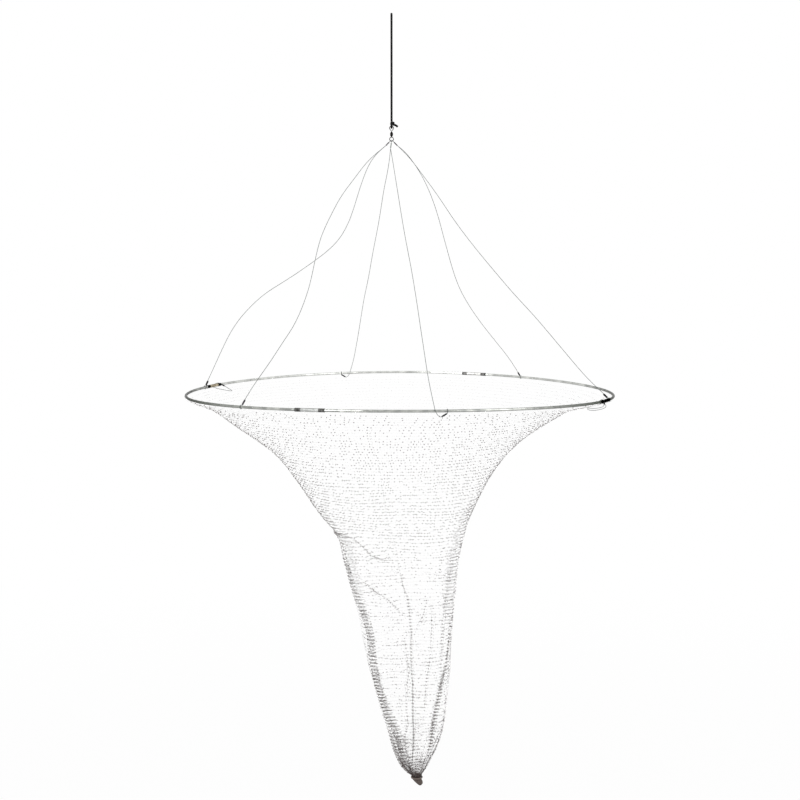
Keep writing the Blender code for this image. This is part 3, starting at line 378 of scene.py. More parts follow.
class Nodes:
    """The node tree of a material or world, with short calls for the nodes that the looks use."""

    def __init__(self, owner):
        owner.use_nodes = True
        self.owner = owner
        self.tree = owner.node_tree
        self.shader = self.tree.nodes.get("Principled BSDF")

    def add(self, kind, inputs=None, **settings):
        """A new node; each of its inputs named here is linked to a socket or set to a value."""
        node = self.tree.nodes.new(kind)
        for key, value in settings.items():
            setattr(node, key, value)
        for key, value in (inputs or {}).items():
            self.feed(node.inputs[key], value)
        return node

    def feed(self, socket, value):
        if isinstance(value, bpy.types.NodeSocket):
            self.tree.links.new(value, socket)
        else:
            socket.default_value = value

    def set(self, **values):
        for key, value in values.items():
            self.feed(self.shader.inputs[key.replace("_", " ")], value)

    def place(self):
        """Where each point lies on the object, from one node for the whole tree."""
        node = self.tree.nodes.get("Texture Coordinate") or self.add("ShaderNodeTexCoord")
        return node.outputs["Object"]

    def noise(self, scale, detail=3.0, roughness=0.5, stretch=None):
        vector = self.place()
        if stretch:
            vector = self.add("ShaderNodeMapping", {"Vector": vector, "Scale": stretch}).outputs["Vector"]
        inputs = {"Scale": scale, "Detail": detail, "Roughness": roughness, "Vector": vector}
        return self.add("ShaderNodeTexNoise", inputs).outputs["Fac"]

    def ramp(self, factor, stops):
        node = self.add("ShaderNodeValToRGB", {"Fac": factor})
        elements = node.color_ramp.elements
        while len(elements) < len(stops):
            elements.new(0.5)
        for element, (position, colour) in zip(elements, stops):
            element.position = position
            element.color = (*colour, 1.0)
        return node.outputs["Color"]

    def ranged(self, value, low=0.0, high=1.0, to_low=0.0, to_high=1.0, smooth=False):
        inputs = {"Value": value, "From Min": low, "From Max": high, "To Min": to_low, "To Max": to_high}
        kind = "SMOOTHSTEP" if smooth else "LINEAR"
        return self.add("ShaderNodeMapRange", inputs, interpolation_type=kind).outputs["Result"]

    def between(self, factor, low, high):
        return self.ranged(factor, to_low=low, to_high=high)

    def maths(self, operation, *values, clamped=False):
        """A maths node on one to three values."""
        inputs = dict(enumerate(values))
        return self.add("ShaderNodeMath", inputs, operation=operation, use_clamp=clamped).outputs[0]

    def mixed(self, factor, first, second, blend="MIX"):
        inputs = {"Factor": factor, "A": first, "B": second}
        node = self.add("ShaderNodeMix", data_type="RGBA", blend_type=blend)
        for key, value in inputs.items():
            self.feed(node.inputs[key], value)
        return node.outputs["Result"]

    def along(self, axis):
        return self.add("ShaderNodeSeparateXYZ", {0: self.place()}).outputs[axis]

    def seen_directly(self):
        """1 where the camera sees it, also through clear things and in mirrors, and 0 elsewhere."""
        paths = self.add("ShaderNodeLightPath").outputs
        direct = self.maths("MAXIMUM", paths["Is Camera Ray"], paths["Is Transmission Ray"])
        return self.maths("MAXIMUM", direct, paths["Is Glossy Ray"])

    def bump(self, height, distance, strength=1.0):
        inputs = {"Distance": distance, "Strength": strength, "Height": height}
        self.set(Normal=self.add("ShaderNodeBump", inputs).outputs["Normal"])


def new_material(name):
    return Nodes(bpy.data.materials.new(name))


def rope_material():
    made = new_material("braided_black_rope")
    fibre = made.noise(2600.0, 4.0, 0.6, stretch=(1.0, 1.0, 0.35))
    made.set(
        Base_Color=made.ramp(fibre, [(0.30, (0.002, 0.002, 0.002)), (0.70, (0.011, 0.011, 0.012))]),
        Roughness=made.between(made.noise(60.0, 4.0), 0.62, 0.88),
        Specular_IOR_Level=0.15,
    )
    made.bump(fibre, 0.00018)
    return made.owner


def front_and_outer(made, blotch):
    """Near 1 on the hoop's front left and front right, and 0 along its middle and back: where the rod's dark
    reflection is painted.
    """
    outer = made.ranged(made.maths("ABSOLUTE", made.along("X")), 0.22, 0.45, smooth=True)
    front = made.ranged(made.along("Y"), 0.05, -0.13, smooth=True)
    both = made.maths("MULTIPLY", outer, front)
    return made.maths("MULTIPLY", both, made.between(blotch, 0.6, 1.5), clamped=True)


def metal_material(name, dark, light, roughness, streak, scratch, edge=0.6, painted_dark_reflection=None, back=None):
    """Drawn metal: soft blotches of colour, fine scratches, uneven polish and darker edges.

    Of the two optional pairs of colours, the first paints a dark reflection on the hoop's front left and
    right, and back paints a pale reflection on its back half: both are painted light, not the metal's own
    colour.
    """
    made = new_material(name)
    blotch = made.noise(streak, 4.0)
    fine = made.noise(scratch, 5.0, 0.65)
    colour = made.ramp(blotch, [(0.35, dark), (0.65, light)])
    if back:
        # Painted light: a pale reflection painted on the hoop's back half.
        pale = made.ramp(blotch, [(0.35, back[0]), (0.65, back[1])])
        colour = made.mixed(made.ranged(made.along("Y"), 0.0, 0.20, smooth=True), colour, pale)
    # Painted shade: a dark reflection painted on the hoop's front left and right.
    if painted_dark_reflection:
        painted_reflection_shade = made.ramp(fine, [(0.30, painted_dark_reflection[0]), (0.70, painted_dark_reflection[1])])
        colour = made.mixed(front_and_outer(made, blotch), colour, painted_reflection_shade)
    made.set(
        Base_Color=colour,
        Roughness=made.between(fine, *roughness),
        Metallic=1.0,
        Specular_Tint=(edge, edge, edge, 1.0),
    )
    made.bump(fine, 0.00003, 0.6)
    return made.owner


def mono_material(name, dark, light, transmission):
    """Clear mono: tinted along its length, lightly scuffed."""
    made = new_material(name)
    scuff = made.noise(1500.0, 4.0, 0.6)
    made.set(
        Base_Color=made.ramp(made.noise(18.0, 3.0), [(0.35, dark), (0.65, light)]),
        Roughness=made.between(scuff, 0.16, 0.42),
        Transmission_Weight=transmission,
        IOR=1.48,
    )
    made.bump(scuff, 0.00002, 0.5)
    return made.owner


CLEAR_FIBRE = ((0.96, 0.94, 0.935), (0.99, 0.975, 0.97))
DARK_FIBRE = ((0.058, 0.041, 0.037), (0.142, 0.106, 0.098))


def mesh_material(name, edge_stops):
    """Clear net: nearly white where a single layer lies open, grey-brown on edge and where it bunches."""
    made = new_material(name)
    fibre = made.noise(1900.0, 3.0, 0.6)
    normal, bunch, weight = (
        made.add("ShaderNodeAttribute", attribute_name=layer).outputs[output]
        for layer, output in (("cloth_normal", "Vector"), ("bunch", "Fac"), ("weight", "Fac"))
    )
    seen = made.add("ShaderNodeNewGeometry").outputs["Incoming"]
    facing = made.add("ShaderNodeVectorMath", {0: seen, 1: normal}, operation="DOT_PRODUCT").outputs["Value"]
    edge = made.ramp(made.ranged(facing, -1.0), [(place, (tone,) * 3) for place, tone in edge_stops])
    strength = made.maths("MULTIPLY_ADD", edge, weight, bunch, clamped=True)
    clear, dark = (made.ramp(fibre, [(0.3, low), (0.7, high)]) for low, high in (CLEAR_FIBRE, DARK_FIBRE))
    made.set(
        Base_Color=made.mixed(strength, clear, dark),
        Roughness=made.between(fibre, 0.10, 0.20),
        Transmission_Weight=made.between(strength, 1.0, 0.0),
        Alpha=made.between(strength, 0.10, 1.0),
        IOR=1.46,
    )
    made.bump(fibre, 0.00003, 0.5)
    return made.owner


def net_material(name, dark, light):
    """Fine warm-grey twine: two tones of fibre, a matt skin and uneven soil."""
    made = new_material(name)
    fibre = made.noise(1900.0, 3.0, 0.6)
    base = made.ramp(fibre, [(0.32, dark), (0.68, light)])
    soil = made.ramp(made.noise(14.0, 4.0), [(0.35, (0.80, 0.78, 0.76)), (0.65, (1.0, 1.0, 1.0))])
    made.set(Base_Color=made.mixed(0.6, base, soil, "MULTIPLY"), Roughness=made.between(fibre, 0.55, 0.80))
    made.bump(fibre, 0.00005, 0.7)
    return made.owner


ROPE = rope_material()
BLACK, NEAR_BLACK = (0.004, 0.004, 0.004), (0.016, 0.015, 0.014)
# The rod's colours hold painted light: a dark reflection painted on its front left and right, and a pale
# reflection painted on its back.
STEEL = metal_material(
    "bright_rod", (0.26, 0.27, 0.26), (0.54, 0.55, 0.52), (0.16, 0.34), 60.0, 900.0, edge=0.35,
    painted_dark_reflection=((0.095, 0.106, 0.093), (0.25, 0.266, 0.236)),
    back=((0.46, 0.47, 0.45), (0.74, 0.75, 0.72)),
)
# Each metal: its dark and light colours, roughness, the scales of its blotches and scratches, and
# how bright it is on edge
METALS = {
    "black_swivel_wire": (BLACK, NEAR_BLACK, (0.28, 0.50), 160.0, 2200.0, 0.10),
    "black_crimp": ((0.003, 0.003, 0.003), (0.012, 0.011, 0.012), (0.32, 0.58), 260.0, 2400.0, 0.10),
    "grey_crimp": ((0.045, 0.040, 0.045), (0.13, 0.12, 0.13), (0.30, 0.55), 260.0, 2400.0, 0.25),
    "pale_crimp": ((0.22, 0.25, 0.23), (0.42, 0.46, 0.42), (0.30, 0.50), 260.0, 2400.0, 0.6),
    "black_collar": (BLACK, NEAR_BLACK, (0.38, 0.62), 200.0, 1800.0, 0.10),
    "worn_collar": ((0.050, 0.050, 0.048), (0.17, 0.168, 0.162), (0.22, 0.45), 200.0, 1800.0, 0.35),
    "aged_brass": ((0.30, 0.25, 0.17), (0.62, 0.56, 0.42), (0.25, 0.48), 120.0, 1500.0, 0.6),
    "pale_tube": ((0.46, 0.46, 0.45), (0.70, 0.70, 0.68), (0.18, 0.36), 90.0, 1500.0, 0.6),
    "grey_tube": ((0.36, 0.37, 0.36), (0.60, 0.61, 0.60), (0.20, 0.40), 90.0, 1500.0, 0.6),
    "black_tube": (BLACK, (0.015, 0.014, 0.014), (0.26, 0.50), 90.0, 1500.0, 0.10),
}
METALS = {name: metal_material(name, *facts) for name, facts in METALS.items()}
MONO = mono_material("clear_mono", (0.050, 0.066, 0.060), (0.115, 0.140, 0.128), 0.20)
# How dark the net shows at each angle it is seen at: 0 from behind, 0.5 on edge, 1 from the front
NET = mesh_material(
    "clear_net_strand",
    [(0.30, 0.0), (0.44, 0.12), (0.49, 1.0), (0.53, 1.0), (0.60, 0.20), (0.75, 0.02), (1.0, 0.05)],
)
NET_KNOT = mesh_material(
    "clear_net_knot",
    [(0.30, 0.04), (0.44, 0.20), (0.49, 1.0), (0.60, 1.0), (0.70, 0.80), (1.0, 0.70)],
)
NET_DARK = net_material("bunched_twine", (0.080, 0.062, 0.054), (0.19, 0.152, 0.135))
TIE = net_material("tie_twine", (0.105, 0.083, 0.073), (0.25, 0.204, 0.182))


# Routes

SPAN_STEPS = 12


def smooth_route(points, count):
    """Count points at even steps along a smooth curve through the points."""
    line = [Vector(point) for point in points]
    line = [2 * line[0] - line[1]] + line + [2 * line[-1] - line[-2]]
    fine = []
    for before, start, end, after in zip(line, line[1:], line[2:], line[3:]):
        for t in [step / SPAN_STEPS for step in range(SPAN_STEPS)]:
            fine.append(
                0.5 * (
                    2 * start
                    + (end - before) * t
                    + (2 * before - 5 * start + 4 * end - after) * t * t
                    + (3 * start - before - 3 * end + after) * t * t * t
                )
            )
    fine.append(line[-2])
    reach = [0.0]
    for start, end in zip(fine, fine[1:]):
        reach.append(reach[-1] + (end - start).length)
    picked = []
    at = 0
    for step in range(count):
        wanted = reach[-1] * step / (count - 1)
        while at < len(fine) - 2 and reach[at + 1] < wanted:
            at += 1
        share = (wanted - reach[at]) / max(reach[at + 1] - reach[at], 1e-9)
        picked.append(fine[at].lerp(fine[at + 1], min(share, 1.0)))
    return picked


def eased_route(points, count):
    """Count points along the smooth route, with its small kinks drawn out as stiff line does."""
    line = np.array([tuple(point) for point in smooth_route(points, 3 * count)])
    for _ in range(LEG_EASING):
        line[1:-1] = 0.25 * line[:-2] + 0.5 * line[1:-1] + 0.25 * line[2:]
    return [Vector(line[int(round(at))]) for at in np.linspace(0, len(line) - 1, count)]


def arc_degrees(length):
    return math.degrees(length / HOOP_RADIUS)


def leg_angle(leg):
    if leg in LEG_COLLAR_GAPS:
        beyond = COUPLING_LENGTH / 2 + TOUCH_GAP + COLLAR_LENGTH + LEG_COLLAR_GAPS[leg]
        return COUPLING_ANGLES[leg] + arc_degrees(beyond)
    return LEG_ANGLES[leg]


def hoop_corners():
    starts = list(COUPLING_ANGLES.values())
    half_gap = arc_degrees(ROD_END_GAP / 2)
    sections = []
    for start, end in zip(starts, starts[1:] + [starts[0] + 360.0]):
        corners = []
        for step in range(HOOP_SECTION_STEPS + 1):
            share = step / HOOP_SECTION_STEPS
            angle = start + half_gap + (end - start - 2 * half_gap) * share
            turn = math.radians(angle)
            corners.append((angle, Vector((
                HOOP_OFFSET + HOOP_RADIUS * math.cos(turn),
                HOOP_RADIUS * math.sin(turn),
                HOOP_HEIGHT - HOOP_DROOP * math.cos(turn) ** 2,
            ))))
        sections.append(corners)
    return sections


HOOP_SECTIONS = hoop_corners()


def hoop_straight(angle):
    corners = [corner for section in HOOP_SECTIONS for corner in section]
    first_angle, first_point = corners[0]
    corners.append((first_angle + 360.0, first_point))
    at = first_angle + (angle - first_angle) % 360.0
    for (low, start), (high, end) in zip(corners, corners[1:]):
        if low <= at <= high:
            return start, end, (at - low) / (high - low)
    return start, end, 1.0


def hoop_point(angle):
    start, end, share = hoop_straight(angle)
    return start.lerp(end, share)


def hoop_tangent(angle):
    start, end, _ = hoop_straight(angle)
    return (end - start).normalized()


def beside_hoop(angle, along, outward, up):
    """The point that lies this far along the rod, outward and up from the rod's centre."""
    at = angle + arc_degrees(along)
    turn = math.radians(at)
    return hoop_point(at) + Vector((outward * math.cos(turn), outward * math.sin(turn), up))


def bight(centre, tangent, near, far, radius):
    """A line's way in through a sleeve, round a rod or wire, and out through the sleeve again."""
    toward = near - centre
    across_rod = (toward - toward.dot(tangent) * tangent).normalized()
    side = tangent.cross(across_rod).normalized()
    axis = (far - near).normalized()
    apart = (side - side.dot(axis) * axis).normalized()
    mouth, tip = near - LINE_LEAD * axis, far + LINE_LEAD * axis
    way = [tip + STRAND_OFFSET * apart, mouth + STRAND_OFFSET * apart]
    for step in range(LOOP_STEPS + 1):
        turn = math.radians(LOOP_OPENING + (360.0 - 2 * LOOP_OPENING) * step / LOOP_STEPS)
        way.append(centre + radius * (math.cos(turn) * across_rod + math.sin(turn) * side))
    way += [mouth - STRAND_OFFSET * apart, tip - STRAND_OFFSET * apart]
    return way, apart


def leg_point(foot, out_share, down_share):
    apex = Vector((0.0, 0.0, LOWER_EYE_BOTTOM))
    return Vector((foot.x * out_share, foot.y * out_share, apex.z + (foot.z - apex.z) * down_share))


def leg_end(leg):
    """A leg's sleeve and loop at the hoop, as the way from the leg, through them, to its cut end."""
    if leg in TURNED_SLEEVE_ANGLES:
        angle = TURNED_SLEEVE_ANGLES[leg]
        slant = math.radians(TURNED_SLEEVE_SLANT)
        near = beside_hoop(angle, TURNED_SLEEVE_ALONG, TURNED_SLEEVE_OUT, -TURNED_SLEEVE_DROP)
        far = beside_hoop(
            angle,
            TURNED_SLEEVE_ALONG - HOOP_CRIMP_LENGTH * math.cos(slant),
            TURNED_SLEEVE_OUT,
            -TURNED_SLEEVE_DROP - HOOP_CRIMP_LENGTH * math.sin(slant),
        )
        way, apart = bight(hoop_point(angle), hoop_tangent(angle), near, far, HOOP_LOOP_RADIUS)
        foot = beside_hoop(leg_angle(leg), 0.0, TURNED_FOOT_OUT, TURNED_FOOT_UP)
        round_rod = [beside_hoop(angle, *offsets) for offsets in reversed(TURNED_ROUTE)]
        return foot, [foot, *round_rod, *way], (near, far, apart)
    angle = leg_angle(leg)
    foot = hoop_point(angle)
    out_share, down_share = LEG_ROUTE_SHARES[leg][-1]
    toward = (leg_point(foot, out_share, down_share) - foot).normalized()
    near = foot + HOOP_NECK * toward
    far = near + HOOP_CRIMP_LENGTH * toward
    way, apart = bight(foot, hoop_tangent(angle), near, far, HOOP_LOOP_RADIUS)
    return foot, way, (near, far, apart)


def tether_wrap(angle, wrap):
    first, last, along_first, along_last = wrap
    points = []
    for step in range(TETHER_WRAP_STEPS + 1):
        share = step / TETHER_WRAP_STEPS
        turn = math.radians(first + (last - first) * share)
        along = along_first + (along_last - along_first) * share
        points.append(beside_hoop(
            angle, along, TETHER_WRAP_RADIUS * math.cos(turn), TETHER_WRAP_RADIUS * math.sin(turn)
        ))
    return points


# Shapes

def mesh_object(name, points, faces, material):
    """A mesh object from an array of points and an array of triangles or quads."""
    data = bpy.data.meshes.new(name)
    points = np.asarray(points, np.float32).reshape(-1, 3)
    faces = np.asarray(faces, np.int32)
    corners = faces.shape[1]
    data.vertices.add(len(points))
    data.vertices.foreach_set("co", points.ravel())
    data.loops.add(faces.size)
    data.loops.foreach_set("vertex_index", faces.ravel())
    data.polygons.add(len(faces))
    data.polygons.foreach_set("loop_start", np.arange(len(faces), dtype=np.int32) * corners)
    data.polygons.foreach_set("loop_total", np.full(len(faces), corners, np.int32))
    data.update(calc_edges=True)
    data.validate()
    data.polygons.foreach_set("use_smooth", np.full(len(data.polygons), True))
    data.materials.append(material)
    item = bpy.data.objects.new(name, data)
    SCENE.collection.objects.link(item)
    return item


def points_array(points):
    return np.asarray([tuple(point) for point in points], float)


def path_sides(points):
    """Two directions across a path that turn as little as possible, at each of its points."""
    ahead = np.gradient(points, axis=0)
    ahead /= np.linalg.norm(ahead, axis=1)[:, None]
    side = np.zeros_like(points)
    start = np.array([1.0, 0.0, 0.0])
    if abs(ahead[0] @ start) > 0.8:
        start = np.array([0.0, 1.0, 0.0])
    for row, tangent in enumerate(ahead):
        start = start - (start @ tangent) * tangent
        start /= np.linalg.norm(start)
        side[row] = start
    return side, np.cross(ahead, side)


def ring_quads(rings, sides):
    """The quads between rings of points that follow each other."""
    rows = np.arange(rings - 1)[:, None] * sides
    here = np.arange(sides)[None, :]
    after = (here + 1) % sides
    quads = [rows + here, rows + after, rows + sides + after, rows + sides + here]
    return np.stack(quads, axis=-1).reshape(-1, 4)


def closed_rings(rings, ends):
    """Points and quads of a skin over rings of points, closed with a point at the middle of each end."""
    count, sides = rings.shape[:2]
    one = np.arange(0, sides, 2)
    two, three = (one + 1) % sides, (one + 2) % sides
    first, last = (np.full_like(one, count * sides + end) for end in (0, 1))
    base = (count - 1) * sides
    caps = [(first, three, two, one), (last, base + one, base + two, base + three)]
    caps = np.stack([np.stack(cap, -1) for cap in caps], 1).reshape(-1, 4)
    return np.concatenate([rings.reshape(-1, 3), ends]), np.concatenate([ring_quads(count, sides), caps])


def circle(sides):
    turns = 2 * np.pi * np.arange(sides) / sides
    return np.cos(turns), np.sin(turns)


def tube_shape(points, radius, sides, relief=None):
    """Points and quads of a capped tube; relief gives the radius at each ring and side."""
    points = points_array(points)
    side, up = path_sides(points)
    across, deep = circle(sides)
    radii = np.full((len(points), sides), radius) if relief is None else relief
    ring = points[:, None, :] + radii[:, :, None] * (
        across[None, :, None] * side[:, None, :] + deep[None, :, None] * up[:, None, :]
    )
    return closed_rings(ring, points[[0, -1]])


def joined(shapes):
    """Several (points, faces) shapes as one."""
    points, faces, start = [], [], 0
    for corners, quads in shapes:
        points.append(corners)
        faces.append(quads + start)
        start += len(corners)
    return np.concatenate(points), np.concatenate(faces)


def braid_relief(points, radius, sides, depth, carriers, lay):
    """Radius at each ring and side of a braided rope: strands that cross over and under."""
    points = points_array(points)
    along = np.concatenate([[0.0], np.cumsum(np.linalg.norm(np.diff(points, axis=0), axis=1))])
    turns = 2 * np.pi * np.arange(sides) / sides
    phase = 2 * np.pi * along[:, None] / lay
    right = np.cos(carriers / 2 * (turns[None, :] - phase))
    left = np.cos(carriers / 2 * (turns[None, :] + phase))
    upper = 0.5 + 0.5 * np.sign(right * left)
    over = np.abs(right) * upper + np.abs(left) * (1.0 - upper)
    return radius - depth * (1.0 - over)


# Rope

ROPE_STEPS, ROPE_SIDES = 560, 32
ROPE_BRAID_DEPTH = 0.00030
BRAID_CARRIERS = 8
BRAID_LAY = 0.0120
CUT_END_RADIUS, CUT_END_STEPS = 0.72, 4


def make_rope():
    steps = range(ROPE_STEPS + 1)
    points = [Vector((0.0, 0.0, -ROPE_FREE_LENGTH * step / ROPE_STEPS)) for step in steps]
    relief = braid_relief(points, ROPE_RADIUS, ROPE_SIDES, ROPE_BRAID_DEPTH, BRAID_CARRIERS, BRAID_LAY)
    cut_end = CUT_END_RADIUS + (1.0 - CUT_END_RADIUS) * np.array(steps) / CUT_END_STEPS
    relief = relief * np.minimum(1.0, cut_end)[:, None]
    rope = mesh_object("rope", *tube_shape(points, ROPE_RADIUS, ROPE_SIDES, relief), ROPE)
    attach(rope, "rope")
    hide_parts("lifting_rope")


make_rope()


# Bridle lines and tethers

LONG_CRIMP = 0.0088
LINE_SIDES = 10
CRIMP_RINGS, CRIMP_SIDES = 41, 24
# Shares of a sleeve's thickness or length: its rolled lips, and its pinches
LIP_ROLL, LIP_LENGTH = 0.10, 0.05
PINCH_DEPTH, PINCH_SPREAD, PINCH_LENGTH = 0.20, 0.02, 0.075


def crimp_shape(near, far, apart, pinches):
    """A sleeve pressed on two strands: rolled lips at its ends and a row of tool pinches."""
    deep = np.array((far - near).normalized().cross(apart))
    near, run, apart = np.array(near), np.array(far - near), np.array(apart)
    share = np.linspace(0.0, 1.0, CRIMP_RINGS)[:, None]
    across, up = circle(CRIMP_SIDES)
    lip = 1.0 - LIP_ROLL * np.maximum(0.0, 1.0 - np.minimum(share, 1.0 - share) / LIP_LENGTH)
    middles = np.arange(1, pinches + 1) / (pinches + 1)
    pinch = np.exp(-((share - middles) / PINCH_LENGTH) ** 2).max(1, keepdims=True)
    wide = CRIMP_HALF_WIDTH * lip * (1.0 + PINCH_SPREAD * pinch) * across
    thick = CRIMP_HALF_DEPTH * lip * (1.0 - PINCH_DEPTH * pinch * np.abs(up)) * up
    hole_wide = (CRIMP_HALF_WIDTH - 0.8 * CRIMP_WALL) * across
    hole_thick = (CRIMP_HALF_DEPTH - 0.9 * CRIMP_WALL) * 0.98 * up
    centre = near + share[..., None] * run
    skins = []
    for width, depth in ((wide, thick), (hole_wide + 0.0 * share, hole_thick + 0.0 * share)):
        skins.append((centre + width[..., None] * apart + depth[..., None] * deep).reshape(-1, 3))
    skin = ring_quads(CRIMP_RINGS, CRIMP_SIDES)
    offset = CRIMP_RINGS * CRIMP_SIDES
    last = offset - CRIMP_SIDES
    here = np.arange(CRIMP_SIDES)
    after = (here + 1) % CRIMP_SIDES
    lips = [
        np.stack([here + offset, after + offset, after, here], -1),
        np.stack([last + here, last + after, last + after + offset, last + here + offset], -1),
    ]
    return np.concatenate(skins), np.concatenate([skin, skin[:, ::-1] + offset, *lips])


def make_crimp(name, near, far, apart, line, body, node):
    """A sleeve on the leg or line named, which tells its metal; a black one where the table has none."""
    material = METALS[CRIMP_METALS.get(line, "black_crimp")]
    pinches = 3 if (far - near).length > LONG_CRIMP else 2
    crimp = mesh_object(name, *crimp_shape(near, far, apart, pinches), material)
    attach(crimp, body)
    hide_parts(node)


def make_mono(name, points, body, node):
    """One continuous line of mono along the points."""
    line = mesh_object(name, *tube_shape(points, LINE_RADIUS, LINE_SIDES), MONO)
    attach(line, body)
    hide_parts(node)
    return line


CRIMP_METALS = {
    "left": "grey_crimp", "middle": "pale_crimp", "right": "grey_crimp", "front_left": "grey_crimp",
}


def make_bridle_line(name, legs, loop_angle, sleeve_lean, length):
    turn = math.radians(loop_angle)
    lean = math.radians(sleeve_lean)
    wire_centre = Vector((
        EYE_ROUND_RADIUS * math.sin(turn), 0.0, LOWER_EYE_CENTRE - EYE_ROUND_RADIUS * math.cos(turn)
    ))
    wire_tangent = Vector((math.cos(turn), 0.0, math.sin(turn)))
    toward = Vector((-math.sin(lean), 0.0, -math.cos(lean)))
    near = wire_centre + TOP_NECK * toward
    far = near + TOP_CRIMP_LENGTH * toward
    top_way, apart = bight(wire_centre, wire_tangent, near, far, TOP_LOOP_RADIUS)
    if apart.y > 0:
        top_way.reverse()
    halves = []
    for leg, start in zip(legs, (top_way[0], top_way[-1])):
        foot, end_way, sleeve = leg_end(leg)
        middle = [leg_point(foot, *shares) for shares in LEG_ROUTE_SHARES[leg]]
        run = eased_route([start, *middle, end_way[0]], LEG_STEPS)
        halves.append(run[1:-1] + end_way)
        make_crimp(f"crimp_{leg}", *sleeve, leg, "hoop", f"hoop_crimp_{leg}")
    points = list(reversed(halves[0])) + top_way + halves[1]
    line = make_mono(f"mono_line_{name}", points, "bridle", f"bridle_line_{name}")
    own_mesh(line)
    make_crimp(f"crimp_top_{name}", near, far, apart, name, "bridle", f"top_crimp_{name}")


for line_name, facts in BRIDLE_LINES.items():
    make_bridle_line(line_name, facts[:2], *facts[2:])


def make_tether(name, angle, sleeve_ends, route, wrap):
    near, far = (beside_hoop(angle, *offsets) for offsets in sleeve_ends)
    axis = (far - near).normalized()
    apart = hoop_tangent(angle)
    apart = (apart - apart.dot(axis) * axis).normalized()
    mouth, tip = near - LINE_LEAD * axis, far + LINE_LEAD * axis
    out_strand = [point - STRAND_OFFSET * apart for point in (mouth, tip)]
    back_strand = [point + STRAND_OFFSET * apart for point in (mouth, tip)]
    middle = [beside_hoop(angle, *offsets) for offsets in route]
    around = tether_wrap(angle, wrap)
    run = smooth_route([out_strand[1], *middle, around[0]], 3 * len(middle))
    points = [out_strand[0], *run, *around[1:], *back_strand]
    make_mono(f"tether_{name}", points, "hoop", f"tether_loop_{name}")
    make_crimp(f"crimp_tether_{name}", near, far, apart, None, "hoop", f"tether_crimp_{name}")


make_tether("left", LEFT_TETHER_ANGLE, LEFT_TETHER_SLEEVE, LEFT_TETHER_ROUTE, LEFT_TETHER_WRAP)
make_tether("right", RIGHT_TETHER_ANGLE, RIGHT_TETHER_SLEEVE, RIGHT_TETHER_ROUTE, RIGHT_TETHER_WRAP)


# Knot

KNOT_SIDES = 24
KNOT_BRAID_DEPTH = 0.00028
KNOT_LOOP_GAP = 0.0005
KNOT_LOOP_STEPS, KNOT_CORE_STEPS, KNOT_SPIRAL_STEPS, KNOT_TAIL_STEPS = 41, 24, 90, 14
KNOT_CORE_PLACE, KNOT_CORE_RADIUS = 0.0007, 0.0025
KNOT_SPIRAL_PLACE, KNOT_SPIRAL_RADIUS = 0.0017, 0.0025
KNOT_TURNS = 2
KNOT_SPIRAL_START, KNOT_TURN_PITCH = 0.0020, 0.0021
KNOT_TAIL_END, KNOT_TAIL_DROP, KNOT_TAIL_BOW = 0.0130, 0.0107, 0.0010


def make_knot():
    """The knot: the loop through the eye, two wraps round the standing part, and the tail."""
    eye_top = np.array([0.0, 0.0, UPPER_EYE_TOP])
    loop_radius = WIRE_RADIUS + KNOT_LOOP_GAP + ROPE_RADIUS
    shapes = []

    def sweep(points, radius=ROPE_RADIUS):
        relief = braid_relief(points, radius, KNOT_SIDES, KNOT_BRAID_DEPTH, BRAID_CARRIERS, BRAID_LAY)
        shapes.append(tube_shape(points, radius, KNOT_SIDES, relief))

    turns = np.linspace(0.0, 2 * np.pi, KNOT_LOOP_STEPS)
    sweep([eye_top + loop_radius * np.array([0.0, math.cos(t), math.sin(t)]) for t in turns])
    core_top = -ROPE_FREE_LENGTH - TOUCH_GAP
    core_length = UPPER_EYE_TOP + loop_radius - core_top
    shares = np.linspace(0.0, 1.0, KNOT_CORE_STEPS)
    sweep([(KNOT_CORE_PLACE, 0.0, core_top + core_length * share) for share in shares], KNOT_CORE_RADIUS)
    spiral = []
    for t in np.linspace(0.0, KNOT_TURNS * 2 * np.pi, KNOT_SPIRAL_STEPS):
        level = core_top - KNOT_SPIRAL_START - KNOT_TURN_PITCH * t / (2 * np.pi)
        across = KNOT_SPIRAL_PLACE + KNOT_SPIRAL_RADIUS * math.cos(t)
        spiral.append((across, KNOT_SPIRAL_RADIUS * math.sin(t), level))
    end = Vector(spiral[-1])
    tail_end = Vector((KNOT_TAIL_END, 0.0, core_top - KNOT_TAIL_DROP))
    for share in np.linspace(0.1, 1.0, KNOT_TAIL_STEPS):
        point = end.lerp(tail_end, share)
        spiral.append((point.x, point.y, point.z + KNOT_TAIL_BOW * math.sin(math.pi * share)))
    sweep(spiral)
    knot = mesh_object("rope_tie_knot", *joined(shapes), ROPE)
    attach(knot, "rope")
    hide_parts("rope_knot")


make_knot()


# Net

def shares_at(table, share):
    """The table's columns after the first, read between its rows along smooth curves."""
    table = np.asarray(table, float)
    share = np.clip(np.asarray(share, float), table[0, 0], table[-1, 0])
    at = np.clip(np.searchsorted(table[:, 0], share, side="right") - 1, 0, len(table) - 2)
    low, high = table[at], table[at + 1]
    width = high[..., 0] - low[..., 0]
    t = (share - low[..., 0]) / width
    slope = np.gradient(table[:, 1:], table[:, 0], axis=0)
    t = t[..., None]
    width = width[..., None]
    return (
        (2 * t**3 - 3 * t**2 + 1) * low[..., 1:]
        + (t**3 - 2 * t**2 + t) * width * slope[at]
        + (-2 * t**3 + 3 * t**2) * high[..., 1:]
        + (t**3 - t**2) * width * slope[at + 1]
    )


def line_at(table, share):
    table = np.asarray(table, float)
    return np.stack(
        [np.interp(share, table[:, 0], table[:, column]) for column in range(1, table.shape[1])], -1
    )


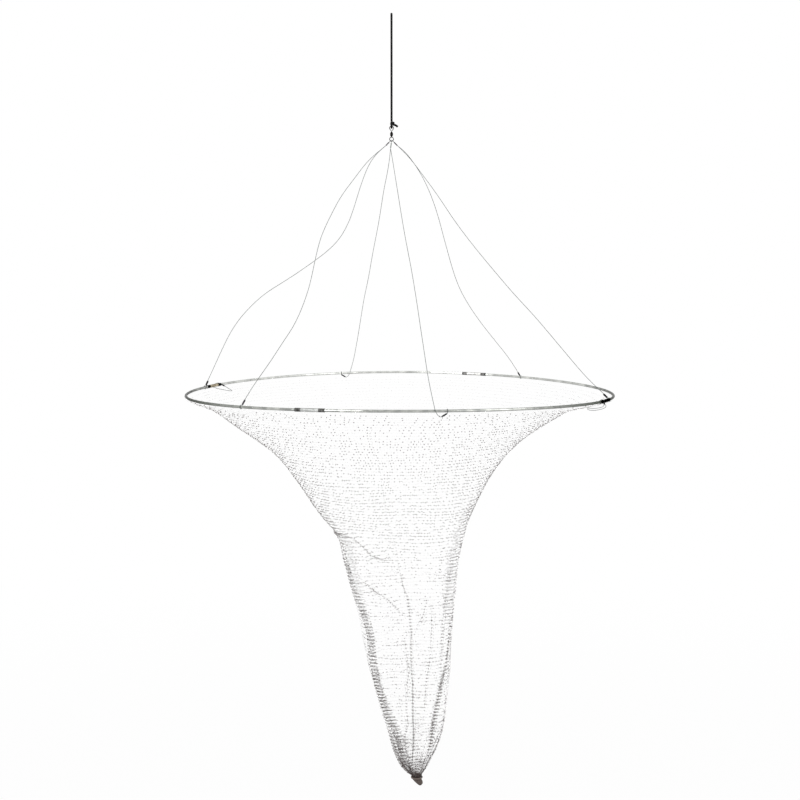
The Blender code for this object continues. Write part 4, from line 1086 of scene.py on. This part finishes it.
def net_point(share, angle, proud=0.0):
    """The net's surface at this share of its length down and this angle, moved outward by proud."""
    outline = shares_at(NET_OUTLINE_SHARES, share)
    section = line_at(NET_SECTION_SHARES, share)
    radius = HOOP_RADIUS * outline[..., 0] + proud
    centre = HOOP_OFFSET + NET_SWAY * outline[..., 1]
    depth = section[..., 0]
    power = ROUND_POWER + (SQUARE_POWER - ROUND_POWER) * section[..., 1]
    across, deep = np.cos(angle), np.sin(angle)
    stretch = (np.abs(across) ** power + np.abs(deep) ** power) ** (-1.0 / power)
    drop = NET_LENGTH * share
    level = np.maximum(0.0, 1.0 - drop / NET_LEVEL_DEPTH)
    return np.stack([
        centre + radius * stretch * across,
        radius * depth * stretch * deep,
        NET_TOP - drop - HOOP_DROOP * level * across**2,
    ], -1)


def row_shares():
    """The rows' shares down the net, one pitch apart along the cloth."""
    fine = np.linspace(0.0, 1.0, 4001)
    radius = HOOP_RADIUS * shares_at(NET_OUTLINE_SHARES, fine)[:, 0]
    steps = np.hypot(ROW_SPREAD * np.diff(radius), NET_LENGTH * np.diff(fine))
    along = np.concatenate([[0.0], np.cumsum(steps)])
    count = int(round(along[-1] / ROW_PITCH))
    return np.interp(np.linspace(0.0, along[-1], count + 1), along, fine)


def fade(share, start, end, soft):
    return np.clip((share - start) / soft, 0.0, 1.0) * np.clip((end - share) / soft, 0.0, 1.0)


def bell(away, width):
    return np.exp(-0.5 * (away / width) ** 2)


def on_route(route, at):
    """The second value of a route of pairs, where its first value is this."""
    return np.interp(at, *np.array(route).T)


def beside_fold(route, share, angle):
    """How alive a fold that runs down is at each place, and how many degrees the place is beside it."""
    alive = fade(share, route[0][0] - 0.03, route[-1][0] + 0.03, 0.05)
    return alive, (angle - on_route(route, share) + 180.0) % 360.0 - 180.0


def beside_cross_fold(route, share, angle):
    return fade(angle, route[0][0], route[-1][0], 14.0), share - on_route(route, angle)


def folded(share, angle):
    """Where the cloth at (share, angle in degrees) goes when its folds are laid in, and how proud."""
    proud = np.zeros_like(share)
    moved = angle.copy()
    for route, width, strength, relief in FOLDS.values():
        alive, away = beside_fold(route, share, angle)
        near = bell(away, width)
        moved = moved - alive * strength * away * near
        proud = proud + alive * relief * (away / width) * near * FOLD_RISE - alive * 0.4 * relief * near
    dropped = share.copy()
    for route, width, strength, relief in CROSS_FOLDS:
        alive, away = beside_cross_fold(route, share, angle)
        near = bell(away, width)
        dropped = dropped - alive * strength * away * near
        proud = proud + alive * relief * (away / width) * near * FOLD_RISE
    gather = np.clip((share - GATHER_START) / 0.18, 0.0, 1.0) ** 1.5
    radius = HOOP_RADIUS * shares_at(NET_OUTLINE_SHARES, share)[..., 0]
    turn = np.radians(moved)
    pleat = np.sin(turn * 11 + 1.3) + 0.6 * np.sin(turn * 17 + 0.4)
    proud = proud + gather * PLEAT_DEPTH * radius * (pleat - 1.1)
    turn = np.radians(angle)
    wave = np.sin(turn * 5 + share * 9.0) + 0.7 * np.sin(turn * 9 - share * 14.0)
    proud = proud + fade(share, 0.10, 0.95, 0.20) * WAVE_HEIGHT * (wave - 1.2)
    return dropped, moved, proud


def soft_noise(rng, shape, spread):
    """Seeded noise that runs smoothly round the ring and down the rows."""
    field = rng.standard_normal(shape)
    for axis, reach in enumerate(spread):
        kernel = bell(np.arange(-3 * reach, 3 * reach + 1), max(reach, 0.5))
        kernel /= kernel.sum()
        ends = [(len(kernel) // 2,) * 2 if along == axis else (0, 0) for along in (0, 1)]
        padded = np.pad(field, ends, mode="wrap")
        field = np.apply_along_axis(lambda line: np.convolve(line, kernel, "valid"), axis, padded)
    return field / field.std()


def cloth_normal(share, angle):
    """The outward direction of the net's surface, without its folds."""
    step = 0.0005
    low = np.clip(share - step, 0.0, 1.0)
    high = np.clip(share + step, 0.0, 1.0)
    down = net_point(high, angle) - net_point(low, angle)
    along = net_point(share, angle + step) - net_point(share, angle - step)
    normal = np.cross(down, along)
    return normal / np.maximum(np.linalg.norm(normal, axis=-1, keepdims=True), 1e-12)


def bunching(share, angle):
    """How many layers lie together, from 0 for one open layer to 1 for a dark bunch."""
    total = np.zeros_like(share)
    for name, (route, width, strength, _) in FOLDS.items():
        alive, away = beside_fold(route, share, angle)
        if name not in FOLD_LINE_TONES:
            alive = BACK_SHADE * alive
        reach = width * (0.7 + 0.2 * strength)
        total = total + FOLD_SHADE * alive * strength / 2.3 * bell(away, reach)
    for route, width, _, _ in CROSS_FOLDS:
        alive, away = beside_cross_fold(route, share, angle)
        total = total + CROSS_FOLD_SHADE * alive * bell(away, 1.6 * width)
    gather = np.clip((share - GATHER_START) / 0.19, 0.0, 1.0)
    gather = gather * (0.85 + 0.20 * np.cos(np.radians(angle + 125.0)))
    total = total + 0.30 * gather**2 + 1.05 * gather**4
    return np.clip(total, 0.0, 1.0)


def net_grid(shares, columns, rng):
    """The crossings' places, cloth directions and bunching, row by row, with the folds laid in."""
    angle = np.linspace(-180.0, 180.0, columns, endpoint=False)
    share = np.repeat(shares[:, None], columns, 1)
    angle = np.repeat(angle[None, :], len(shares), 0)
    pitch = 360.0 / columns
    loose = fade(share, 0.004, 0.985, 0.02)
    angle = angle + loose * pitch * (
        COLUMN_STRAY * rng.standard_normal(share.shape)
        + COLUMN_DRIFT * soft_noise(rng, share.shape, (3, 5))
    )
    slack = ROW_PITCH / NET_LENGTH
    share = share + loose * slack * (
        ROW_STRAY * rng.standard_normal(share.shape) + ROW_DRIFT * soft_noise(rng, share.shape, (2, 9))
    ) * np.clip(share / 0.25, 0.25, 1.0)
    scallop = np.where(np.arange(columns) % 2 == 0, SCALLOP, -SCALLOP)[None, :]
    share = share + loose * slack * scallop
    dash = np.clip(soft_noise(rng, share.shape, (0, 6)), 0.0, 2.0)
    dark = np.clip(bunching(share, angle) + on_route(DASH_TONES, share) * dash, 0.0, 1.0)
    share, angle, proud = folded(np.clip(share, 0.0, 1.0), angle)
    share = np.clip(share, 0.0, 1.0)
    turn = np.radians(angle)
    clear = np.clip((np.sin(turn) + 0.50) / 0.30, 0.0, 1.0) * fade(share, 0.24, 0.92, 0.12)
    clear = clear * (1.0 - BACK_RETURN * np.clip((np.sin(turn) - 0.35) / 0.30, 0.0, 1.0))
    front = 1.0 - SIDE_CLEARNESS * clear
    tones = [on_route(table, share) * front for table in (STRAND_TONES, KNOT_TONES)]
    extra = np.stack([dark * front, *tones], -1)
    return np.concatenate([net_point(share, turn, proud), cloth_normal(share, turn), extra], -1)


def strand_shape(places, radius, closed, share_of_weight=1.0, share_of_bunch=1.0):
    """Points, quads and facts of many thin three-sided strands.

    Places is strands by points by nine: where, the cloth's direction, its bunching, and the tones of
    its strands and knots.
    """
    sides = STRAND_SIDES
    paths = places[..., :3]
    facts = places[..., 3:8].copy()
    facts[..., 4] *= share_of_weight
    facts[..., 3] *= np.minimum(share_of_weight + share_of_bunch, 1.0)
    ahead = np.roll(paths, -1, 1) - np.roll(paths, 1, 1)
    if not closed:
        ahead[:, 0] = paths[:, 1] - paths[:, 0]
        ahead[:, -1] = paths[:, -1] - paths[:, -2]
    ahead /= np.maximum(np.linalg.norm(ahead, axis=-1, keepdims=True), 1e-9)
    out = facts[..., :3]
    out = out - (out * ahead).sum(-1, keepdims=True) * ahead
    out /= np.maximum(np.linalg.norm(out, axis=-1, keepdims=True), 1e-9)
    up = np.cross(ahead, out)
    across, deep = circle(sides)
    radius = np.broadcast_to(radius, paths.shape[:2])[:, :, None, None]
    ring = paths[:, :, None, :] + radius * (
        across[None, None, :, None] * out[:, :, None, :] + deep[None, None, :, None] * up[:, :, None, :]
    )
    strands, count = paths.shape[:2]
    segments = count if closed else count - 1
    strand = np.arange(strands)[:, None, None] * count * sides
    here = np.arange(segments)[None, :, None]
    after = (here + 1) % count
    side = np.arange(sides)[None, None, :]
    turned = (side + 1) % sides
    quads = np.stack([
        strand + here * sides + side,
        strand + here * sides + turned,
        strand + after * sides + turned,
        strand + after * sides + side,
    ], -1).reshape(-1, 4)
    return ring.reshape(-1, 3), quads, np.repeat(facts.reshape(-1, 5), sides, 0)


def knot_shape(places, size, rng):
    """A small eight-sided bead at each crossing; some are pulled small and clear, some are bold."""
    facts = places[..., [3, 4, 5, 6, 8]].reshape(-1, 5).copy()
    places = places[..., :3].reshape(-1, 3)
    down = (NET_TOP - places[:, 2]) / NET_LENGTH
    chance = (on_route(BOLD_KNOTS, down) + 0.9 * facts[:, 3]) * on_route(GATHERED_KNOTS, down)
    bold = np.clip((chance - rng.random(len(places))) / 0.15 + 0.5, 0.0, 1.0)
    facts[:, 4] *= 0.02 + 1.2 * bold
    spread = KNOT_SIZE_SPREAD * rng.random(len(places))
    sizes = size * (KNOT_SIZE_CLEAR + KNOT_SIZE_BOLD * bold + spread)
    corners = np.array([(1, 0, 0), (-1, 0, 0), (0, 1, 0), (0, -1, 0), (0, 0, 0.75), (0, 0, -0.75)])
    points = (places[:, None, :] + sizes[:, None, None] * corners[None]).reshape(-1, 3)
    faces = np.array([
        (0, 2, 4), (2, 1, 4), (1, 3, 4), (3, 0, 4), (2, 0, 5), (1, 2, 5), (3, 1, 5), (0, 3, 5)
    ])
    faces = (faces[None] + 6 * np.arange(len(places))[:, None, None]).reshape(-1, 3)
    return points, faces, np.repeat(facts, 6, 0)


def joined_strands(shapes):
    return (*joined([shape[:2] for shape in shapes]), np.concatenate([shape[2] for shape in shapes]))


def net_piece(name, shape, material, collapses=True):
    piece = mesh_object(name, *shape[:2], material)
    facts = shape[2].astype(np.float32)
    layers = piece.data.attributes
    layers.new("cloth_normal", "FLOAT_VECTOR", "POINT").data.foreach_set("vector", facts[:, :3].ravel())
    for column, layer in ((3, "bunch"), (4, "weight")):
        layers.new(layer, "FLOAT", "POINT").data.foreach_set("value", facts[:, column])
    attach(piece, "hoop")
    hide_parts("net")
    if collapses:
        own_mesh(piece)


def rim_loops(grid_row, columns):
    """The lashing of the net's edge: each column's end taken once round the rod."""
    angles = np.linspace(-180.0, 180.0, columns, endpoint=False)
    paths = []
    for column, angle in enumerate(angles):
        turn = math.radians(angle)
        centre = hoop_point(angle)
        outward = Vector((math.cos(turn), math.sin(turn), 0.0))
        tangent = hoop_tangent(angle)
        points = [Vector(grid_row[column, :3])]
        for step in range(RIM_LOOP_STEPS):
            around = math.radians(-80.0 - 29.0 * step)
            lean = (step - RIM_LOOP_STEPS // 2) * RIM_LOOP_LEAN
            out = math.cos(around) * outward + math.sin(around) * Vector((0.0, 0.0, 1.0))
            points.append(centre + (ROD_RADIUS + ROW_RADIUS + RIM_LOOP_GAP) * out + lean * tangent)
        facts = grid_row[column, 3:]
        paths.append([(*point, *facts) for point in points])
    return np.array(paths)


def make_net():
    rng = np.random.default_rng(NET_SEED)
    shares = row_shares()
    grid = net_grid(shares, WIDE_COLUMNS, rng)
    rim_rows = int(np.searchsorted(shares, RIM_PIECE_SHARE)) + 1
    sock_row = int(np.searchsorted(shares, SOCK_START_SHARE))
    half = (rim_rows + sock_row) // 2
    lower_half = (sock_row + len(shares)) // 2

    row_tones = on_route(ROW_TONES, shares)[:, None]
    column_tones = on_route(COLUMN_TONES, shares)
    column_radii = on_route(COLUMN_RADII, shares)
    rim = joined_strands([
        strand_shape(grid[:rim_rows], ROW_RADIUS, True),
        strand_shape(grid[:rim_rows].transpose(1, 0, 2), column_radii[0], False, column_tones[:rim_rows]),
        strand_shape(rim_loops(grid[0], WIDE_COLUMNS), column_radii[0], False, column_tones[0]),
    ])
    net_piece("net_rim", rim, NET, collapses=False)
    # Each stretch of the net: its strands' piece, its knots' piece, every how many columns, its rows
    stretches = [
        ("net_funnel_upper", "net_knots_upper", 1, rim_rows, half),
        ("net_funnel_lower", "net_knots_middle", 1, half, sock_row),
        ("net_sock_upper", "net_knots_lower", 2, sock_row, lower_half),
        ("net_sock_lower", "net_knots_end", 2, lower_half, len(shares)),
    ]
    for name, _, every, start, end in stretches:
        places = grid[:, ::every]
        columns = places[start - 1:end].transpose(1, 0, 2)
        radii, tones = column_radii[start - 1:end], column_tones[start - 1:end]
        shape = joined_strands([
            strand_shape(places[start:end], ROW_RADIUS, True, row_tones[start:end], 0.0),
            strand_shape(columns, radii, False, tones, COLUMN_BUNCH),
        ])
        net_piece(name, shape, NET)
    net_piece("net_knots_rim", knot_shape(grid[1:rim_rows], KNOT_RADIUS, rng), NET_KNOT, collapses=False)
    for _, name, _, start, end in stretches:
        net_piece(name, knot_shape(grid[start:end], KNOT_RADIUS, rng), NET_KNOT)
    make_seam(shares, rim_rows)
    make_fold_lines(shares, rng)


def twine(share, angle, tone, wander, proud, rows, between=0.05):
    """One twine laid on the net: dark where it crosses a row, clearer between the rows."""
    radius = HOOP_RADIUS * shares_at(NET_OUTLINE_SHARES, share)[:, 0]
    at = angle + np.degrees(wander / np.maximum(radius, 0.01))
    crossing = 0.5 + 0.5 * np.cos(2 * np.pi * np.interp(share, rows, np.arange(len(rows))))
    crossing = between + (1.0 - between) * crossing**4
    tone = tone * (0.02 + 1.25 * crossing)
    points = net_point(share, np.radians(at), np.full(len(share), proud))
    normals = cloth_normal(share, np.radians(at))
    facts = np.stack([tone, tone, tone], -1)
    radius = SEAM_RADIUS * (0.40 + 1.10 * crossing)
    return strand_shape(np.concatenate([points, normals, facts], -1)[None], radius[None], False)


def make_seam(shares, rim_rows):
    """The seam: two twines that cross over each other all the way down the net."""
    fine = np.linspace(shares[rim_rows], 0.992, 900)
    angle = on_route(SEAM_ROUTE, fine)
    tone = on_route(SEAM_TONES, fine)
    close = on_route(SEAM_CLOSENESS, fine)
    shapes = []
    for side in (-1.0, 1.0):
        weave = side * SEAM_WEAVE * np.sin(np.arange(len(fine)) * 2 * np.pi / SEAM_WEAVE_STEPS)
        shapes.append(twine(fine, angle, tone, weave, SEAM_LIFT, shares, close))
    net_piece("net_seam", joined_strands(shapes), NET)


def make_fold_lines(shares, rng):
    """The edges of the folds, where strands lie together in two loose lines."""
    shapes = []

    def loose(count, reach):
        return FOLD_LINE_WANDER * soft_noise(rng, (1, count), (0, reach))[0]

    for name, line_tone in FOLD_LINE_TONES.items():
        route, width = FOLDS[name][:2]
        fine = np.linspace(route[0][0], route[-1][0], 500)
        angle = on_route(route, fine)
        ends = fade(fine, route[0][0], route[-1][0], 0.03)
        for side in (-0.5, 0.5):
            wander = loose(len(fine), 9)
            tone = line_tone * ends * (0.6 + 0.4 * rng.random(len(fine)))
            shapes.append(twine(fine, angle + side * width * ends, tone, wander, FOLD_LINE_LIFT, shares))
    for route, width, _, _ in CROSS_FOLDS:
        angle = np.linspace(route[0][0], route[-1][0], 300)
        centre = on_route(route, angle)
        ends = fade(angle, route[0][0], route[-1][0], 8.0)
        for side in (-0.45, 0.45):
            share = centre + side * width + loose(len(angle), 7)
            tone = CROSS_LINE_TONE * ends * (0.5 + 0.5 * rng.random(len(angle)))
            shapes.append(twine(share, angle, tone, 0.0, FOLD_LINE_LIFT, shares))
    net_piece("net_fold_lines", joined_strands(shapes), NET)
    make_band_rows(shares, rng)


def make_band_rows(shares, rng):
    """The rows of the cloth's hidden layers, which show between the rows in front in each band."""
    shapes = []
    bands = [(FOLDS[name][0], widths, 1.0) for name, widths in BAND_WIDTHS.items()]
    bands += [(route, EDGE_BAND_WIDTHS, EDGE_BAND_TONE) for route in EDGE_BAND_ROUTES]
    across = np.linspace(-1.0, 1.0, BAND_STEPS)
    for route, widths, band_tone in bands:
        start, end = widths[0][0], widths[-1][0]
        rows = shares[(shares > start) & (shares < end)]
        for layer in BAND_LAYERS:
            for share in rows + layer * ROW_PITCH / NET_LENGTH:
                width = on_route(widths, share) * rng.uniform(0.75, 1.1)
                centre = on_route(route, share) + rng.normal(0.0, 0.6)
                angle = centre + width * across
                sag = BAND_SAG * np.sin(np.linspace(0.0, 3.0, BAND_STEPS) + rng.uniform(0.0, 6.0))
                tilt = BAND_ROW_TILT * math.copysign(1.0, centre + 90.0) * (angle - centre)
                depth_tone = np.interp(share, [start, start + 0.15, end], [0.45, 0.85, 1.1])
                tone = depth_tone * rng.uniform(0.5, 1.0) * band_tone
                turn = np.radians(angle)
                lift = share + sag + tilt
                facts = np.full((BAND_STEPS, 3), tone)
                place = net_point(lift, turn, np.full(BAND_STEPS, -BAND_SINK))
                places = np.concatenate([place, cloth_normal(lift, turn), facts], -1)
                shapes.append(strand_shape(places[None], BAND_ROW_RADIUS, False))
    net_piece("net_band_rows", joined_strands(shapes), NET)


make_net()


# Tie and bunched end

TUFT_RINGS, TUFT_SIDES = 60, 144
TUFT_INSIDE = -0.60
# The bunched end at each share below the tie: its radius, and how far it has leaned over
TUFT_OUTLINE = [
    (TUFT_INSIDE, 0.86, 0.0), (0.0, 0.97, 0.0), (0.12, 1.02, 0.10), (0.35, 1.00, 0.40),
    (0.60, 0.84, 0.75), (0.80, 0.60, 0.93), (0.93, 0.36, 1.0), (1.0, 0.12, 1.0),
]
TUFT_PLEATS = ((0.10, 14, 0.0), (0.07, 23, 1.1), (0.04, 41, 0.0))
TIE_TURNS, TIE_STEPS, TIE_SIDES = 3, 48, 12
TIE_BRAID_DEPTH, TIE_CARRIERS, TIE_LAY = 0.00012, 3, 0.006
TIE_CORD_RADIUS = 0.0008
TIE_LAY_MARGIN = 0.0009
TIE_STAND_OFF = 0.0014


def make_tuft(end_x, neck):
    share = np.linspace(TUFT_INSIDE, 1.0, TUFT_RINGS)[:, None]
    turn = 2 * np.pi * np.arange(TUFT_SIDES)[None, :] / TUFT_SIDES
    radius, lean = np.moveaxis(shares_at(TUFT_OUTLINE, share), -1, 0)
    twist = turn + 0.5 * share
    pleat = sum(depth * np.sin(count * twist + shift) for depth, count, shift in TUFT_PLEATS)
    reach = (neck - TOUCH_GAP) * radius * (0.90 + 0.6 * pleat)
    rings = np.stack([
        end_x + TUFT_LEAN * lean + reach * np.cos(turn),
        reach * np.sin(turn),
        NET_END - TUFT_LENGTH * share + 0.0006 * np.sin(9 * turn) * np.maximum(share, 0.0),
    ], -1)
    ends = [
        (end_x, 0.0, NET_END - TUFT_INSIDE * TUFT_LENGTH),
        (end_x + TUFT_LEAN, 0.0, NET_END - TUFT_LENGTH),
    ]
    points, faces = closed_rings(rings, ends)
    tuft = mesh_object("bunched_end", points, np.roll(faces[:, ::-1], 1, 1), NET_DARK)
    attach(tuft, "net_tail")
    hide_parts("net_tuft")


def make_tail():
    end_x = HOOP_OFFSET + NET_SWAY * NET_OUTLINE_SHARES[-1][2]
    neck = HOOP_RADIUS * NET_OUTLINE_SHARES[-1][1]
    make_tuft(end_x, neck)
    wraps = []
    reach = neck + TIE_STAND_OFF + TIE_CORD_RADIUS
    for share in np.linspace(0.0, 1.0, TIE_TURNS * TIE_STEPS + 1):
        turn = 2 * math.pi * TIE_TURNS * share
        level = NET_END + TIE_LAY_MARGIN + (TIE_TURNS_HEIGHT - 2 * TIE_LAY_MARGIN) * share
        wraps.append((end_x + reach * math.cos(turn), reach * math.sin(turn), level))
    relief = braid_relief(wraps, TIE_CORD_RADIUS, TIE_SIDES, TIE_BRAID_DEPTH, TIE_CARRIERS, TIE_LAY)
    tie = mesh_object("tie_cord", *tube_shape(wraps, TIE_CORD_RADIUS, TIE_SIDES, relief), TIE)
    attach(tie, "net_tail")
    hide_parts("net_tie")


make_tail()


# Materials of the pieces kept from the solids

def dress(node, material):
    data = bpy.data.objects[node].data
    data.materials.clear()
    data.materials.append(material)


for section in ("right", "back", "left", "front"):
    dress(f"hoop_section_{section}", STEEL)
# The metals of each coupling's tube and of its two collars
COUPLING_METALS = {
    "front_right": ("black_tube", "black_tube"),
    "back_right": ("pale_tube", "worn_collar"),
    "back_left": ("aged_brass", "black_collar"),
    "front_left": ("grey_tube", "worn_collar"),
}
for place_name, (tube, collar) in COUPLING_METALS.items():
    dress(f"hoop_coupling_{place_name}", METALS[tube])
    for number in (1, 2):
        dress(f"coupling_collar_{place_name}_{number}", METALS[collar])
for node_name in ("swivel_upper_eye", "swivel_barrel", "swivel_lower_eye"):
    dress(node_name, METALS["black_swivel_wire"])


# Light, backdrop and floor

WHITE = (1.0, 1.0, 1.0, 1.0)
FLOOR_REACH, FLOOR_LEVEL = 9.0, -2.40
# How white the floor is seen near the net, and between which distances that fades to full white
FLOOR_NEAR_SHARE = 0.95
FLOOR_FADE = (2.6, 6.0)
SEEN_STRENGTH = 1.0
LIGHT_STRENGTH = 0.62


def make_world():
    world = bpy.data.worlds.new("studio")
    SCENE.world = world
    made = Nodes(world)
    made.tree.nodes.clear()
    light, seen = (
        made.add("ShaderNodeBackground", {"Color": WHITE, "Strength": strength}).outputs[0]
        for strength in (LIGHT_STRENGTH, SEEN_STRENGTH)
    )
    mix = made.add("ShaderNodeMixShader", {"Fac": made.seen_directly(), 1: light, 2: seen})
    made.add("ShaderNodeOutputWorld", {"Surface": mix.outputs[0]})


def make_area(name, location, target, size, power):
    data = bpy.data.lights.new(name, "AREA")
    data.shape = "SQUARE"
    data.size = size
    data.energy = power
    lamp = bpy.data.objects.new(name, data)
    lamp.location = location
    way = Vector(target) - Vector(location)
    lamp.rotation_euler = way.to_track_quat("-Z", "Y").to_euler()
    SCENE.collection.objects.link(lamp)


def make_floor():
    """A pale floor well below the net, which keeps a soft shadow."""
    data = bpy.data.meshes.new("floor")
    reach, level = FLOOR_REACH, FLOOR_LEVEL
    data.from_pydata(
        [(-reach, -reach, level), (reach, -reach, level), (reach, reach, level), (-reach, reach, level)],
        [],
        [(0, 1, 2, 3)],
    )
    floor = bpy.data.objects.new("floor", data)
    SCENE.collection.objects.link(floor)
    made = new_material("pale_floor")
    made.set(Base_Color=WHITE, Roughness=0.9)
    away = made.add("ShaderNodeVectorMath", {0: made.place()}, operation="LENGTH").outputs["Value"]
    near = made.ranged(away, *FLOOR_FADE, FLOOR_NEAR_SHARE, 1.0, smooth=True)
    shown = made.maths("MULTIPLY", made.seen_directly(), near)
    glow = made.add("ShaderNodeEmission", {"Strength": 1.0}).outputs[0]
    mix = made.add("ShaderNodeMixShader", {"Fac": shown, 1: made.shader.outputs[0], 2: glow})
    made.feed(made.tree.nodes["Material Output"].inputs["Surface"], mix.outputs[0])
    data.materials.append(made.owner)


make_world()
make_area("key", (-2.2, -3.0, 1.8), (0.0, 0.0, -0.9), 1.6, 60.0)
make_area("fill", (2.6, -2.2, 0.6), (0.0, 0.0, -0.9), 2.0, 22.0)
make_floor()
SCENE.view_settings.view_transform = "Standard"
